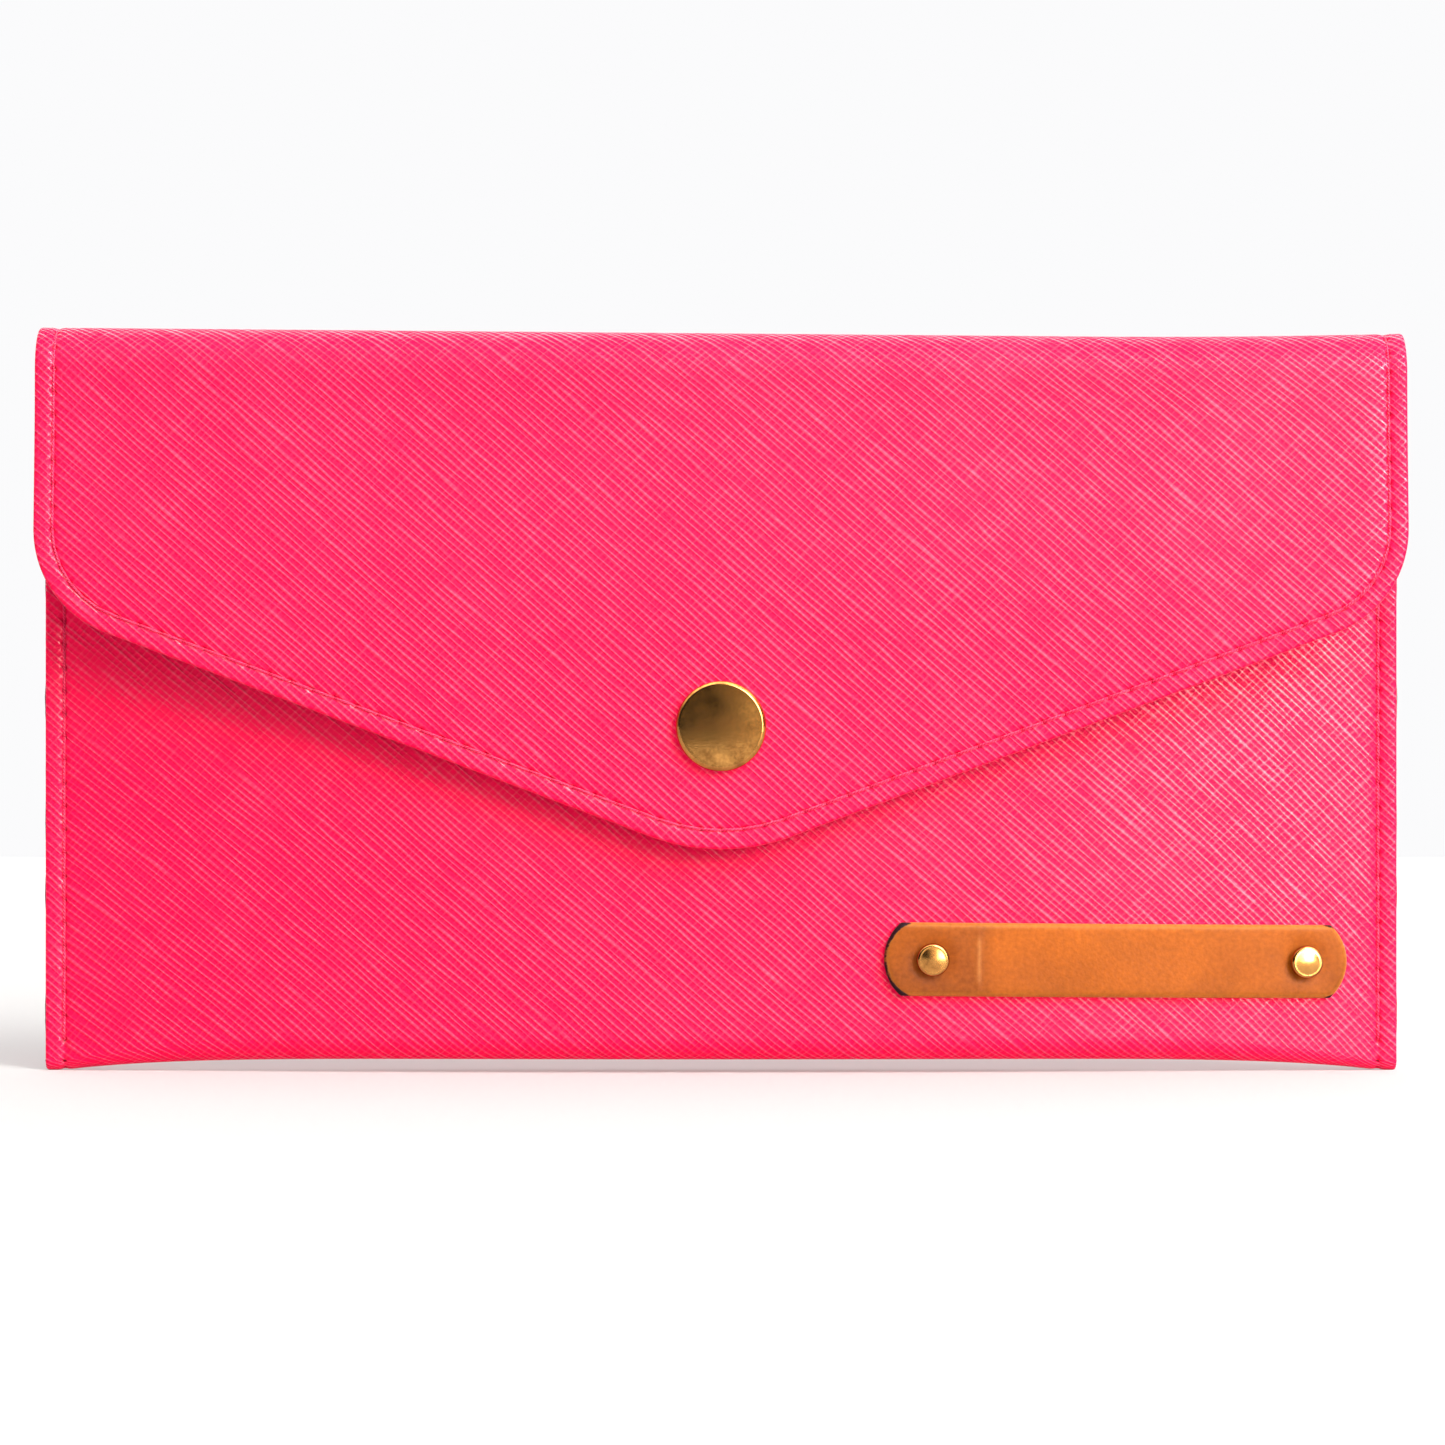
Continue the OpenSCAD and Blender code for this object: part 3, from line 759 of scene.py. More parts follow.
@dataclass
class Sheet:
    """The leather sheet that makes the front, base, back and flap, as one folded strip.

    A place on the flat strip is (u, v): u runs across it to the right, and v runs along it, 0 on
    the crest of the top fold, falling down the flap and rising down the back, round the base and
    up the front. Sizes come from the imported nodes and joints.

    Attributes:
        swell_power: How square the swell of the front is.
        pinch_in: How far inside the stitching the swell starts.
        base_lift: How far the middle of the base arches off the floor.
        lift_power: How soon the arch rises from the two corners.
        base_round: Radius of the base's front edge at the middle.
        leather: Thickness of the leather.
        glue: Thickness of the glue.
        mouth_gap: How far the mouth lies below the start of the top fold.
        split: How far below the fold the back is cut into two pieces.
        stitch_inset: Distance of the stitching from an edge.
        pitch: Distance from stitch to stitch.
        tip_radius: Radius of the flap's tip.
        corner_radius: Radius of the flap's corners.
        edge_slope: Slope of the flap's lower edges, in degrees.
        crest_drop: How far the top edge has sunk from its first height.
    """

    swell_power: float = 2.4
    pinch_in: float = 0.25 * MM
    base_lift: float = 1.75 * MM
    lift_power: float = 6.5
    base_round: float = 3.4 * MM
    leather: float = 1.1 * MM
    glue: float = 0.05 * MM
    mouth_gap: float = 1.8 * MM
    split: float = 9.0 * MM
    stitch_inset: float = 2.6 * MM
    pitch: float = 3.2 * MM
    tip_radius: float = 28.0 * MM
    corner_radius: float = 15.5 * MM
    edge_slope: float = 20.5
    crest_drop: float = -0.65 * MM

    def __post_init__(self) -> None:
        """Reads the places of the fold, the faces and the flap from the frame."""
        low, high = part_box("pouch_leather")
        self.half_w, self.wall = high.x, high.y
        self.depth = -low.y - self.wall
        self.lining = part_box("pouch_lining")[1].y
        back, front = (Vector(joint["pos_m"]) for joint in frame["joints"][:2])
        self.radius = (back.y - front.y) / math.sqrt(2)
        self.fold_y = (back.y + front.y) / 2
        self.fold_z = back.z - self.radius / math.sqrt(2)
        self.quarter = self.radius * math.pi / 2
        self.mouth_z = self.fold_z - self.mouth_gap
        flap_low, flap_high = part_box("flap_leather")
        self.flap_half, self.flap_y, self.tip_z = flap_high.x, flap_low.y, flap_low.z
        cap_low, cap_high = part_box("snap_cap")
        self.snap_z = (cap_low.z + cap_high.z) / 2
        self.level_z = self.snap_z + (cap_high.z - cap_low.z)
        self.seam_x = self.half_w - self.stitch_inset
        self.tip_centre = self.tip_z + self.tip_radius
        self.corner_x = self.flap_half - self.corner_radius
        slope = math.radians(self.edge_slope)
        edge_z0 = self.tip_z - self.tip_radius * (1 / math.cos(slope) - 1)
        self.corner_z = (
            edge_z0
            + math.tan(slope) * self.flap_half
            + self.corner_radius * math.tan(math.pi / 4 - slope / 2)
        )
        self.split_v = self.quarter + self.split

    # The pouch's section, from the split down the back, round the base and up the front.

    def swell(self, x: Array) -> Array:
        """Share of the full depth that the front stands out at x."""
        reach = self.seam_x - self.pinch_in
        return 1 - np.minimum(np.abs(x) / reach, 1) ** self.swell_power

    def front(self, x: Array) -> Array:
        """The front's outer face at x, as a Y value."""
        return -self.wall - self.depth * self.swell(x)

    def lift(self, x: Array) -> Array:
        """How high the base arches off the floor at x."""
        return self.base_lift * (1 - np.minimum(np.abs(x) / self.seam_x, 1) ** self.lift_power)

    def lengths(self) -> tuple[float, float, float, float, float]:
        """Nominal lengths of the section's five stretches: back, bend, base, bend and front."""
        bend = self.base_round * math.pi / 2
        down = self.fold_z - self.split - self.base_round
        up = self.mouth_z - self.base_round
        flat = max(self.wall + self.depth + self.wall - 2 * self.base_round, MM)
        return down, bend, flat, bend, up

    def marks(self) -> list[float]:
        """Where the section's stretches meet along the strip, from the split to the mouth."""
        return (self.split_v + np.concatenate([[0.0], np.cumsum(self.lengths())])).tolist()

    def pouch_place(self, x: Array, v: Array) -> Array:
        """Places points of the pouch's strip.

        Args:
            x: Places across the strip.
            v: Places along the strip, past the split.

        Returns:
            One row of X, Y and Z for each point.
        """
        y0, y1 = np.full_like(x, self.wall), self.front(x)
        floor = self.lift(x)
        bend = np.minimum((y0 - y1) * 0.46, self.base_round)
        top = self.fold_z - self.split
        marks = self.marks()
        share = [np.clip((v - marks[i]) / (marks[i + 1] - marks[i]), 0, 1) for i in range(5)]
        y, z = y0.copy(), top - share[0] * (top - floor - bend)
        a = share[1] * math.pi / 2
        y, z = y - bend * (1 - np.cos(a)), z - bend * np.sin(a)
        y = y - share[2] * (y0 - y1 - 2 * bend)
        a = share[3] * math.pi / 2
        y, z = y - bend * np.sin(a), z + bend * (1 - np.cos(a))
        z = z + share[4] * (self.mouth_z - floor - bend)
        ripple = 0.16 * MM * np.sin(x / (13.0 * MM) + 0.8) * np.sin(z / (17.0 * MM) + 1.1)
        y = y - ripple * self.swell(x) * share[4]
        return np.stack([x, y, z], 1)

    # The top fold and the flap.

    def crest(self, x: Array) -> Array:
        """How far the top edge strays from level at x: high at the left, low at the right."""
        rise = np.maximum(x - 50 * MM, 0)
        return self.crest_drop - 0.0085 * x + 0.375 * rise**2

    def flap_out(self, z: Array) -> Array:
        """The flap's outer face at height z, as a Y value."""
        top = self.fold_y - self.radius
        share = (self.fold_z - z) / (self.fold_z - self.level_z)
        return top + (self.flap_y - top) * smooth_step(share)

    def fold_place(self, x: Array, v: Array) -> Array:
        """Places points of the strip over the top fold, and down the flap and the back."""
        side = np.where(v < 0, -1.0, 1.0)
        run = np.abs(v)
        turn = np.minimum(run, self.quarter) / self.radius
        below = np.maximum(run - self.quarter, 0)
        y = self.fold_y + side * self.radius * np.sin(turn)
        z = self.fold_z + self.radius * np.cos(turn) - below
        y = np.where((side < 0) & (below > 0), self.flap_out(z), y)
        near = 1 - smooth_step((run - self.quarter * 0.5) / (1.3 * self.quarter))
        z = z + self.crest(x) * near
        hang = smooth_step((below - 12 * MM) / (40 * MM)) * (side < 0)
        bow = 0.45 * MM * (np.abs(x) / self.flap_half) ** 2 + 0.1 * MM * np.sin(x / (15 * MM))
        return np.stack([x, y + bow * hang, z], 1)

    def place(self, x: Array, v: Array) -> Array:
        """Places any points of the strip, one row of X, Y and Z each."""
        over = self.fold_place(x, np.minimum(v, self.split_v))
        pouch = self.pouch_place(x, np.maximum(v, self.split_v))
        return np.where((v <= self.split_v)[:, None], over, pouch)

    def normals(self, x: Array, v: Array) -> Array:
        """Outward unit normals of the strip's outer face."""
        return facing(self.place, x, v, 0.02 * MM)

    def height_v(self, z: float) -> float:
        """The place along the strip of a height z on the flap."""
        return -(self.quarter + self.fold_z - z)

    # The flap's outline.

    def flap_edge(self, inset: float) -> tuple[Callable[[float], tuple[float, float]], float]:
        """Half of a line that follows the flap's edge, from the crest of the fold to the tip.

        Args:
            inset: How far inside the edge the line runs.

        Returns:
            A function from a share of the full edge's length to (u, v), and the line's length.
        """
        turn = math.radians(90 - self.edge_slope)
        rc, rt = self.corner_radius - inset, self.tip_radius - inset
        corner = (self.corner_x + rc * math.cos(turn), self.corner_z - rc * math.sin(turn))
        tip = (rt * math.cos(turn), self.tip_centre - rt * math.sin(turn))
        side = self.quarter + self.fold_z - self.corner_z
        parts = [
            side,
            self.corner_radius * turn,
            math.dist(corner, tip),
            self.tip_radius * math.radians(self.edge_slope),
        ]
        marks = np.concatenate([[0.0], np.cumsum(parts)])

        def at(s: float) -> tuple[float, float]:
            """Finds the line's point at a distance s along the flap's full edge."""
            if s < marks[1]:
                return self.corner_x + rc, -s
            if s < marks[2]:
                a = (s - marks[1]) / self.corner_radius
                x, z = self.corner_x + rc * math.cos(a), self.corner_z - rc * math.sin(a)
                return x, self.height_v(z)
            if s < marks[3]:
                t = (s - marks[2]) / parts[2]
                x, z = (p + (q - p) * t for p, q in zip(corner, tip))
                return x, self.height_v(z)
            a = math.radians(self.edge_slope) - (s - marks[3]) / self.tip_radius
            return rt * math.sin(a), self.height_v(self.tip_centre - rt * math.cos(a))

        return at, float(marks[4])


# ----- Cutting and meshing flat patterns -----


@dataclass
class Cut:
    """A flat pattern: its points, with a few values at each, and its rim in order.

    Attributes:
        places: The points (u, v).
        press: How far each point is pressed in.
        pierced: How near each point is to a needle hole, from 0 to 1.
        rim: The indices of the rim's points, anticlockwise.
    """

    places: list[tuple[float, float]] = field(default_factory=list)
    press: list[float] = field(default_factory=list)
    pierced: list[float] = field(default_factory=list)
    rim: list[int] = field(default_factory=list)

    def add(self, u: float, v: float, press: float = 0.0, pierced: float = 0.0) -> int:
        """Adds a point and returns its index."""
        self.places.append((u, v))
        self.press.append(press)
        self.pierced.append(pierced)
        return len(self.places) - 1

    def add_pair(self, u: float, v: float, press: float = 0.0, pierced: float = 0.0) -> None:
        """Adds a point and its mirror image on the left, if it isn't on the middle line."""
        self.add(u, v, press, pierced)
        if u > TINY:
            self.add(-u, v, press, pierced)

    def triangles(self) -> list[tuple[int, int, int]]:
        """Joins the points inside the rim by triangles, anticlockwise."""
        edges = list(zip(self.rim, self.rim[1:] + self.rim[:1]))
        flat = [Vector((u * (1 / MM), v * (1 / MM))) for u, v in self.places]
        points, _, faces, origins, _, _ = delaunay_2d_cdt(flat, edges, [], 1, 1e-5)
        back = [found[0] if found else -1 for found in origins]
        if len(points) != len(self.places) or -1 in back:
            log.info("the cut's points changed from %d to %d", len(self.places), len(points))
        return [tuple(back[i] for i in face) for face in faces if all(back[i] >= 0 for i in face)]


@dataclass(frozen=True)
class Seam:
    """The marks that a row of stitches leaves in leather.

    Attributes:
        groove: Depth of the line that the thread tension pulls in.
        groove_w: Half width of that line.
        hole: Depth of a needle hole.
        hole_w: Half width of a needle hole across the line.
        hole_l: Half length of a needle hole along the line.
        rows: Distances from the line at which the mesh has points.
        samples: How many points the mesh has from hole to hole.
    """

    groove: float = 0.2 * MM
    groove_w: float = 0.55 * MM
    hole: float = 0.6 * MM
    hole_w: float = 0.25 * MM
    hole_l: float = 0.38 * MM
    rows: tuple[float, ...] = (0.0, 0.16 * MM, 0.34 * MM, 0.6 * MM, 1.0 * MM)
    samples: int = 10

    def lines(self) -> list[float]:
        """Distances of the mesh rows on both sides of the line, from the inner one out."""
        return sorted({row * side for row in self.rows for side in (-1, 1)})

    def marks(self, away: float, phase: float, pitch: float) -> tuple[float, float]:
        """How far a point is pressed in, and how near a hole it is.

        Args:
            away: The point's distance from the line.
            phase: Its place along the line, 0 or 1 at a hole.
            pitch: The distance from hole to hole.

        Returns:
            The depth, and the nearness, from 0 to 1.
        """
        run = min(phase, 1 - phase) * pitch
        near = math.exp(-((away / self.hole_w) ** 2) - (run / self.hole_l) ** 2)
        return self.groove * math.exp(-((away / self.groove_w) ** 2)) + self.hole * near, near


SEAM = Seam()
# How far in from the rim each row lies, in mm, and how deep, as a share of the thickness.
RIM_ROWS = ((0.0, 0.26), (0.1, 0.11), (0.24, 0.03), (0.5, 0.0))
# The same rows on the name strap, with the depth in mm.
STRAP_ROWS = ((0.0, 0.42), (0.12, 0.2), (0.3, 0.07), (0.55, 0.01))
# How deep the extra rows of a cut edge lie, as shares of the thickness.
WALL_ROWS = (0.35, 0.7)
# The most that a face is pressed in, as a share of the thickness.
MOST_PRESSED = 0.6
# The sharpest turn, in degrees, that a sheet shades smooth.
SHARP_EDGE = 48.0


def spread(low: float, high: float, step: float) -> list[float]:
    """Evenly spaced values from low to high, both included, about a step apart."""
    count = max(1, round((high - low) / step))
    return [low + (high - low) * i / count for i in range(count + 1)]


def shell_mesh(
    name: str,
    cut: Cut,
    surface: Surface,
    normals: Surface,
    off: float,
    thickness: float,
    bulge: float = 0.06 * MM,
) -> Object:
    """Builds a closed sheet from a flat pattern.

    Args:
        name: The object's name.
        cut: The flat pattern.
        surface: Places points of the pattern on the reference face.
        normals: Gives the reference face's outward normals.
        off: How far inside the reference face the sheet's outer face lies.
        thickness: The sheet's thickness.
        bulge: How far the cut edge swells out.

    Returns:
        The object. Its faces have the material indices 0 outside, 1 on the cut edge and 2 inside.
    """
    faces = cut.triangles()
    u, v = (np.array(c) for c in zip(*cut.places))
    base, out = surface(u, v), normals(u, v)
    pressed = np.minimum(np.array(cut.press), thickness * MOST_PRESSED)
    top = base - out * (off + pressed)[:, None]
    bottom = base - out * (off + thickness)
    rim = np.array(cut.rim)
    along = unit(top[np.roll(rim, -1)] - top[np.roll(rim, 1)])
    away = np.cross(along, out[rim])
    rings = [
        top[rim]
        + (bottom[rim] - top[rim]) * share
        + away * bulge * math.sin(math.pi * (0.25 + 0.6 * share))
        for share in WALL_ROWS
    ]
    count, round_count, ring_count = len(u), len(rim), len(WALL_ROWS)
    loops = [list(face) for face in faces]
    loops += [[count + i for i in reversed(face)] for face in faces]
    ring_ids = [rim]
    ring_ids += [2 * count + k * round_count + np.arange(round_count) for k in range(ring_count)]
    ring_ids += [count + rim]
    for upper, lower in zip(ring_ids, ring_ids[1:]):
        wall = [upper, lower, np.roll(lower, -1), np.roll(upper, -1)]
        loops += np.stack(wall, 1).tolist()
    mesh = smooth_mesh(name, np.concatenate([top, bottom, *rings]).tolist(), loops, SHARP_EDGE)
    index = np.ones(len(loops), np.int32)
    index[: len(faces)] = 0
    index[len(faces) : 2 * len(faces)] = 2
    mesh.polygons.foreach_set("material_index", index)
    pattern = np.stack([u, v], 1)
    flat = np.concatenate([pattern, pattern] + [pattern[rim]] * ring_count)
    depth = [np.zeros(count), np.ones(count), *(np.full(round_count, s) for s in WALL_ROWS)]
    holes = [np.array(cut.pierced), np.zeros(count + round_count * ring_count)]
    layer = mesh.uv_layers.new(name="UVMap")
    corner = np.zeros(len(mesh.loops), np.int32)
    mesh.loops.foreach_get("vertex_index", corner)
    layer.data.foreach_set("uv", flat[corner].astype(np.float32).ravel())
    store(mesh, "pierced", np.concatenate(holes))
    store(mesh, "edge_depth", np.concatenate(depth))
    mesh.validate()
    return add_object(name, mesh)


# ----- Stitches -----


# A curve's middle rises to three quarters of its handles' height.
HANDLE_REACH = 1.33


@dataclass
class StitchTree:
    """The node tree that puts a stitch of thread on each of a row of marks.

    Attributes:
        name: The tree's name.
        round_steps: How many sides the thread has.
        run_steps: How many rings one stitch has.
        rise_at: How far out a stitch is pulled up, as a share of its half length.
    """

    name: str = "stitch_row"
    round_steps: int = 8
    run_steps: int = 8
    rise_at: float = 0.72

    def build(self) -> NodeTree:
        """Returns the tree, which is made once."""
        known = bpy.data.node_groups.get(self.name)
        if known is not None:
            return known
        tree = bpy.data.node_groups.new(self.name, "GeometryNodeTree")
        face = tree.interface
        face.new_socket("Marks", in_out="INPUT", socket_type="NodeSocketGeometry")
        for label in ("Length", "Thread radius", "Rise", "Dive"):
            face.new_socket(label, in_out="INPUT", socket_type="NodeSocketFloat")
        face.new_socket("Thread", in_out="INPUT", socket_type="NodeSocketMaterial")
        face.new_socket("Stitches", in_out="OUTPUT", socket_type="NodeSocketGeometry")
        add = partial(add_node, tree)
        given = add("NodeGroupInput").outputs
        half = add(MATH, {0: given["Length"], 1: 0.5}, operation="MULTIPLY")
        back, near, far = (
            add(MATH, {0: half, 1: share}, operation="MULTIPLY")
            for share in (-1.0, -self.rise_at, self.rise_at)
        )
        down = add(MATH, {0: given["Dive"], 1: -1.0}, operation="MULTIPLY")
        ends = {
            name: add("ShaderNodeCombineXYZ", {"X": x, "Z": z})
            for name, x, z in (
                ("Start", back, down),
                ("Start Handle", near, given["Rise"]),
                ("End Handle", far, given["Rise"]),
                ("End", half, down),
            )
        }
        segment = "GeometryNodeCurvePrimitiveBezierSegment"
        path = add(segment, {"Resolution": self.run_steps, **ends}, mode="POSITION")
        circle = {"Resolution": self.round_steps, "Radius": given["Thread radius"]}
        profile = add("GeometryNodeCurvePrimitiveCircle", circle)
        run = add("GeometryNodeSplineParameter")
        wound, marked = (
            add(
                "GeometryNodeStoreNamedAttribute",
                {"Geometry": curve, "Name": name, "Value": run.outputs[share]},
                data_type="FLOAT",
            )
            for curve, name, share in (
                (profile, "thread_turn", "Factor"),
                (path, "thread_run", "Length"),
            )
        )
        swept = {"Curve": marked, "Profile Curve": wound, "Fill Caps": True}
        thread = add("GeometryNodeCurveToMesh", swept)
        axes = {
            axis: add("GeometryNodeInputNamedAttribute", {"Name": name}, data_type="FLOAT_VECTOR")
            for axis, name in (("Primary Axis", "mark_along"), ("Secondary Axis", "mark_out"))
        }
        turned = add("FunctionNodeAxesToRotation", axes, primary_axis="X", secondary_axis="Z")
        laid = {"Points": given["Marks"], "Instance": thread, "Rotation": turned}
        placed = add("GeometryNodeInstanceOnPoints", laid)
        real = add("GeometryNodeRealizeInstances", {"Geometry": placed})
        smooth = add("GeometryNodeSetShadeSmooth", {"Geometry": real})
        dressed = {"Geometry": smooth, "Material": given["Thread"]}
        add("NodeGroupOutput", {0: add("GeometryNodeSetMaterial", dressed)})
        return tree


@dataclass
class StitchRow:
    """A row of stitches laid on a surface.

    Attributes:
        name: The object's name.
        thread: The thread's finish.
        radius: The thread's radius.
        rise: How high the middle of a stitch stands over the surface.
        dive: How deep its ends go.
    """

    name: str
    thread: Finish = THREAD
    radius: float = 0.2 * MM
    rise: float = 0.04 * MM
    dive: float = 0.62 * MM
    marks: list[tuple[Array, Array, Array]] = field(default_factory=list)

    def sew(self, ends: Array, out: Array) -> None:
        """Adds one stitch between each two following needle holes.

        Args:
            ends: The holes, one row of X, Y and Z each, in order.
            out: The surface's outward normals at the holes.
        """
        for a, b, n, m in zip(ends, ends[1:], out, out[1:]):
            self.marks.append(((a + b) / 2, b - a, n + m))

    def build(self) -> Object:
        """Runs the stitch tree over the marks and returns the thread as a plain mesh object."""
        middle, along, out = (np.array(part) for part in zip(*self.marks))
        spans = np.linalg.norm(along, axis=1)
        mesh = bpy.data.meshes.new(self.name + "_marks")
        mesh.from_pydata(middle.tolist(), [], [])
        for label, value in (("mark_along", along / spans[:, None]), ("mark_out", out)):
            data = mesh.attributes.new(label, "FLOAT_VECTOR", "POINT").data
            data.foreach_set("vector", value.astype(np.float32).ravel())
        marks = add_object(self.name + "_marks", mesh)
        tree = StitchTree().build()
        sewing = marks.modifiers.new("sewing", "NODES")
        sewing.node_group = tree
        values = {
            "Length": float(np.median(spans)),
            "Thread radius": self.radius,
            "Rise": self.rise * HANDLE_REACH,
            "Dive": self.dive,
            "Thread": self.thread.build(),
        }
        for item in tree.interface.items_tree:
            if item.name in values and item.in_out == "INPUT":
                sewing[item.identifier] = values[item.name]
        ready = marks.evaluated_get(bpy.context.evaluated_depsgraph_get())
        sewn = bpy.data.meshes.new_from_object(ready)
        sewn.name = self.name
        bpy.data.objects.remove(marks)
        return add_object(self.name, sewn)


# ----- Leather and lining -----


@dataclass
class Leatherwork:
    """The leather: pouch, rear half of the fold, and flap, with the stitching that joins them.

    Attributes:
        sheet: The strip that it is cut from.
        margin: How far from a seam the coarse part of the mesh starts.
        inner_clear: How far inside the side seams the pouch's even grid starts.
        flap_clear: How far inside the flap's edge its even grid starts.
        grid: Distance between mesh points on the pouch's and the fold's leather.
        flap_grid: The same on the flap's leather.
        lining_grid: The same on the lining.
        lining_rim: The same along the lining's sides.
        end_step: The same along a cut across the leather.
        lining_end_step: The same along a cut across the lining.
        fold_step: Distance between mesh rows round the top fold.
        base_step: The same round the base.
        bend_past: How far past a bend such rows go on.
        lining_trim: How far the lining's edge lies inside the flap's.
    """

    sheet: Sheet
    margin: float = 1.45 * MM
    inner_clear: float = 1.6 * MM
    flap_clear: float = 4.3 * MM
    grid: float = 2.0 * MM
    flap_grid: float = 2.1 * MM
    lining_grid: float = 3.2 * MM
    lining_rim: float = 2.5 * MM
    end_step: float = 1.6 * MM
    lining_end_step: float = 5 * MM
    fold_step: float = 0.4 * MM
    base_step: float = 0.33 * MM
    bend_past: float = 0.4 * MM
    lining_trim: float = 0.1 * MM

    def blend_line(self, side: int) -> tuple[Vector, Vector]:
        """Start and end of the bend at the fold's rear or front hinge.

        Args:
            side: 1 at the back and -1 at the front.

        Returns:
            Two points on the fold, a quarter turn apart.
        """
        s = self.sheet
        crest = Vector((0, s.fold_y, s.fold_z + s.radius))
        edge = Vector((0, s.fold_y + side * s.radius, s.fold_z))
        return (edge, crest) if side > 0 else (crest, edge)

    def join(self, thing: Object, slot: Slot, side: int, *nodes: str) -> None:
        """Bakes a piece's transform into its mesh, and hides the nodes that it stands for."""
        start, end = self.blend_line(side)
        tuple(start)
        tuple(end)
        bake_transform(thing)
        mark(thing, slot, *nodes)

    def seam_columns(self, cut: Cut, v0: float, v1: float, phase0: float) -> None:
        """Adds the fine points along both side seams between two places of the strip."""
        s = self.sheet
        for v in spread(v0, v1, s.pitch / SEAM.samples)[1:-1]:
            phase = ((v - phase0) / s.pitch) % 1
            for away in SEAM.lines():
                press, near = SEAM.marks(abs(away), phase, s.pitch)
                for side in (-1, 1):
                    cut.add(side * (s.seam_x + away), v, press, near)

    def rectangle(
        self, v0: float, v1: float, half: Callable[[float], float], fine: bool, phase0: float
    ) -> Cut:
        """Cuts a stretch of the strip, from edge to edge.

        Args:
            v0: Where it starts along the strip.
            v1: Where it ends.
            half: Half its width at each place.
            fine: Whether its side seams are stitched leather.
            phase0: A place along the strip where a needle hole lies.

        Returns:
            The flat pattern.
        """
        s = self.sheet
        cut = Cut()
        sides = spread(v0, v1, s.pitch / 4 if fine else self.lining_rim)[1:-1]
        drop = [p * s.leather for _, p in RIM_ROWS] if fine else [0.0] * len(RIM_ROWS)
        for u, press in self.across(half(v0), fine):
            cut.rim.append(cut.add(u, v0, press))
        for v in sides:
            cut.rim.append(cut.add(half(v), v, drop[0]))
        for u, press in reversed(self.across(half(v1), fine)):
            cut.rim.append(cut.add(u, v1, press))
        for v in reversed(sides):
            cut.rim.append(cut.add(-half(v), v, drop[0]))
        if fine:
            for (inset, _), press in list(zip(RIM_ROWS, drop))[1:]:
                for v in sides:
                    for side in (-1, 1):
                        cut.add(side * (half(v) - inset * MM), v, press)
            self.seam_columns(cut, v0, v1, phase0)
            for v in spread(v0, v1, s.pitch / 3)[1:-1]:
                for side in (-1, 1):
                    cut.add(side * (s.seam_x + self.margin), v)
        inner = s.seam_x - (self.inner_clear if fine else 0.0)
        grid = self.grid if fine else self.lining_grid
        for v in self.section_rows(v0, v1, grid)[1:-1]:
            for x in spread(-inner, inner, grid):
                cut.add(x, v)
        return cut

    def across(self, half: float, fine: bool) -> list[tuple[float, float]]:
        """Points across the strip, from its left edge to its right one, for a cut that ends there.

        Args:
            half: Half the strip's width there.
            fine: Whether the edges are rounded and the seams are drawn in.

        Returns:
            Each point's u, and how far it is pressed in.
        """
        s = self.sheet
        if not fine:
            return [(u, 0.0) for u in spread(-half, half, self.lining_end_step)]
        right = [(s.seam_x + a, SEAM.marks(abs(a), 0.5, s.pitch)[0]) for a in SEAM.lines()]
        right += [(s.seam_x + self.margin, 0.0)]
        right += [(half - inset * MM, p * s.leather) for inset, p in reversed(RIM_ROWS)]
        left = [(-u, press) for u, press in reversed(right)]
        inner = s.seam_x - self.margin
        return left + [(u, 0.0) for u in spread(-inner, inner, self.end_step)] + right

    def section_rows(self, v0: float, v1: float, grid: float) -> list[float]:
        """Places of mesh rows: even on flat stretches, and close together round the bends."""
        s = self.sheet
        _, base0, base1, front0, front1, _ = s.marks()
        bends = (
            (-s.quarter, s.quarter, self.fold_step),
            (base0, base1, self.base_step),
            (front0, front1, self.base_step),
        )
        rows, v, past = [v0], v0, self.bend_past
        while v < v1 - TINY * MM:
            steps = [step for start, end, step in bends if start - past <= v < end + past]
            v = min(v1, v + (steps[0] if steps else grid))
            rows.append(v)
        if len(rows) > 2 and rows[-1] - rows[-2] < 0.3 * MM:
            rows.pop(-2)
        return rows

    def leather_shell(self, name: str, cut: Cut) -> Object:
        """Makes a stretch of the embossed leather."""
        s = self.sheet
        thing = shell_mesh(name, cut, s.place, s.normals, 0.0, s.leather)
        return dress(thing, PINK, EDGE, EDGE)

    def lining_shell(self, name: str, cut: Cut) -> Object:
        """Makes a stretch of the lining inside the leather."""
        s = self.sheet
        depth = s.leather + s.glue
        thing = shell_mesh(name, cut, s.place, s.normals, depth, s.lining, 0.0)
        return dress(thing, LINING, LINING, LINING)

    def back_half(self, v: float) -> float:
        """Half the strip's width at v, which grows over the fold to the flap's."""
        s = self.sheet
        return s.half_w + (s.flap_half - s.half_w) * float(smooth_step(1 - v / s.quarter))

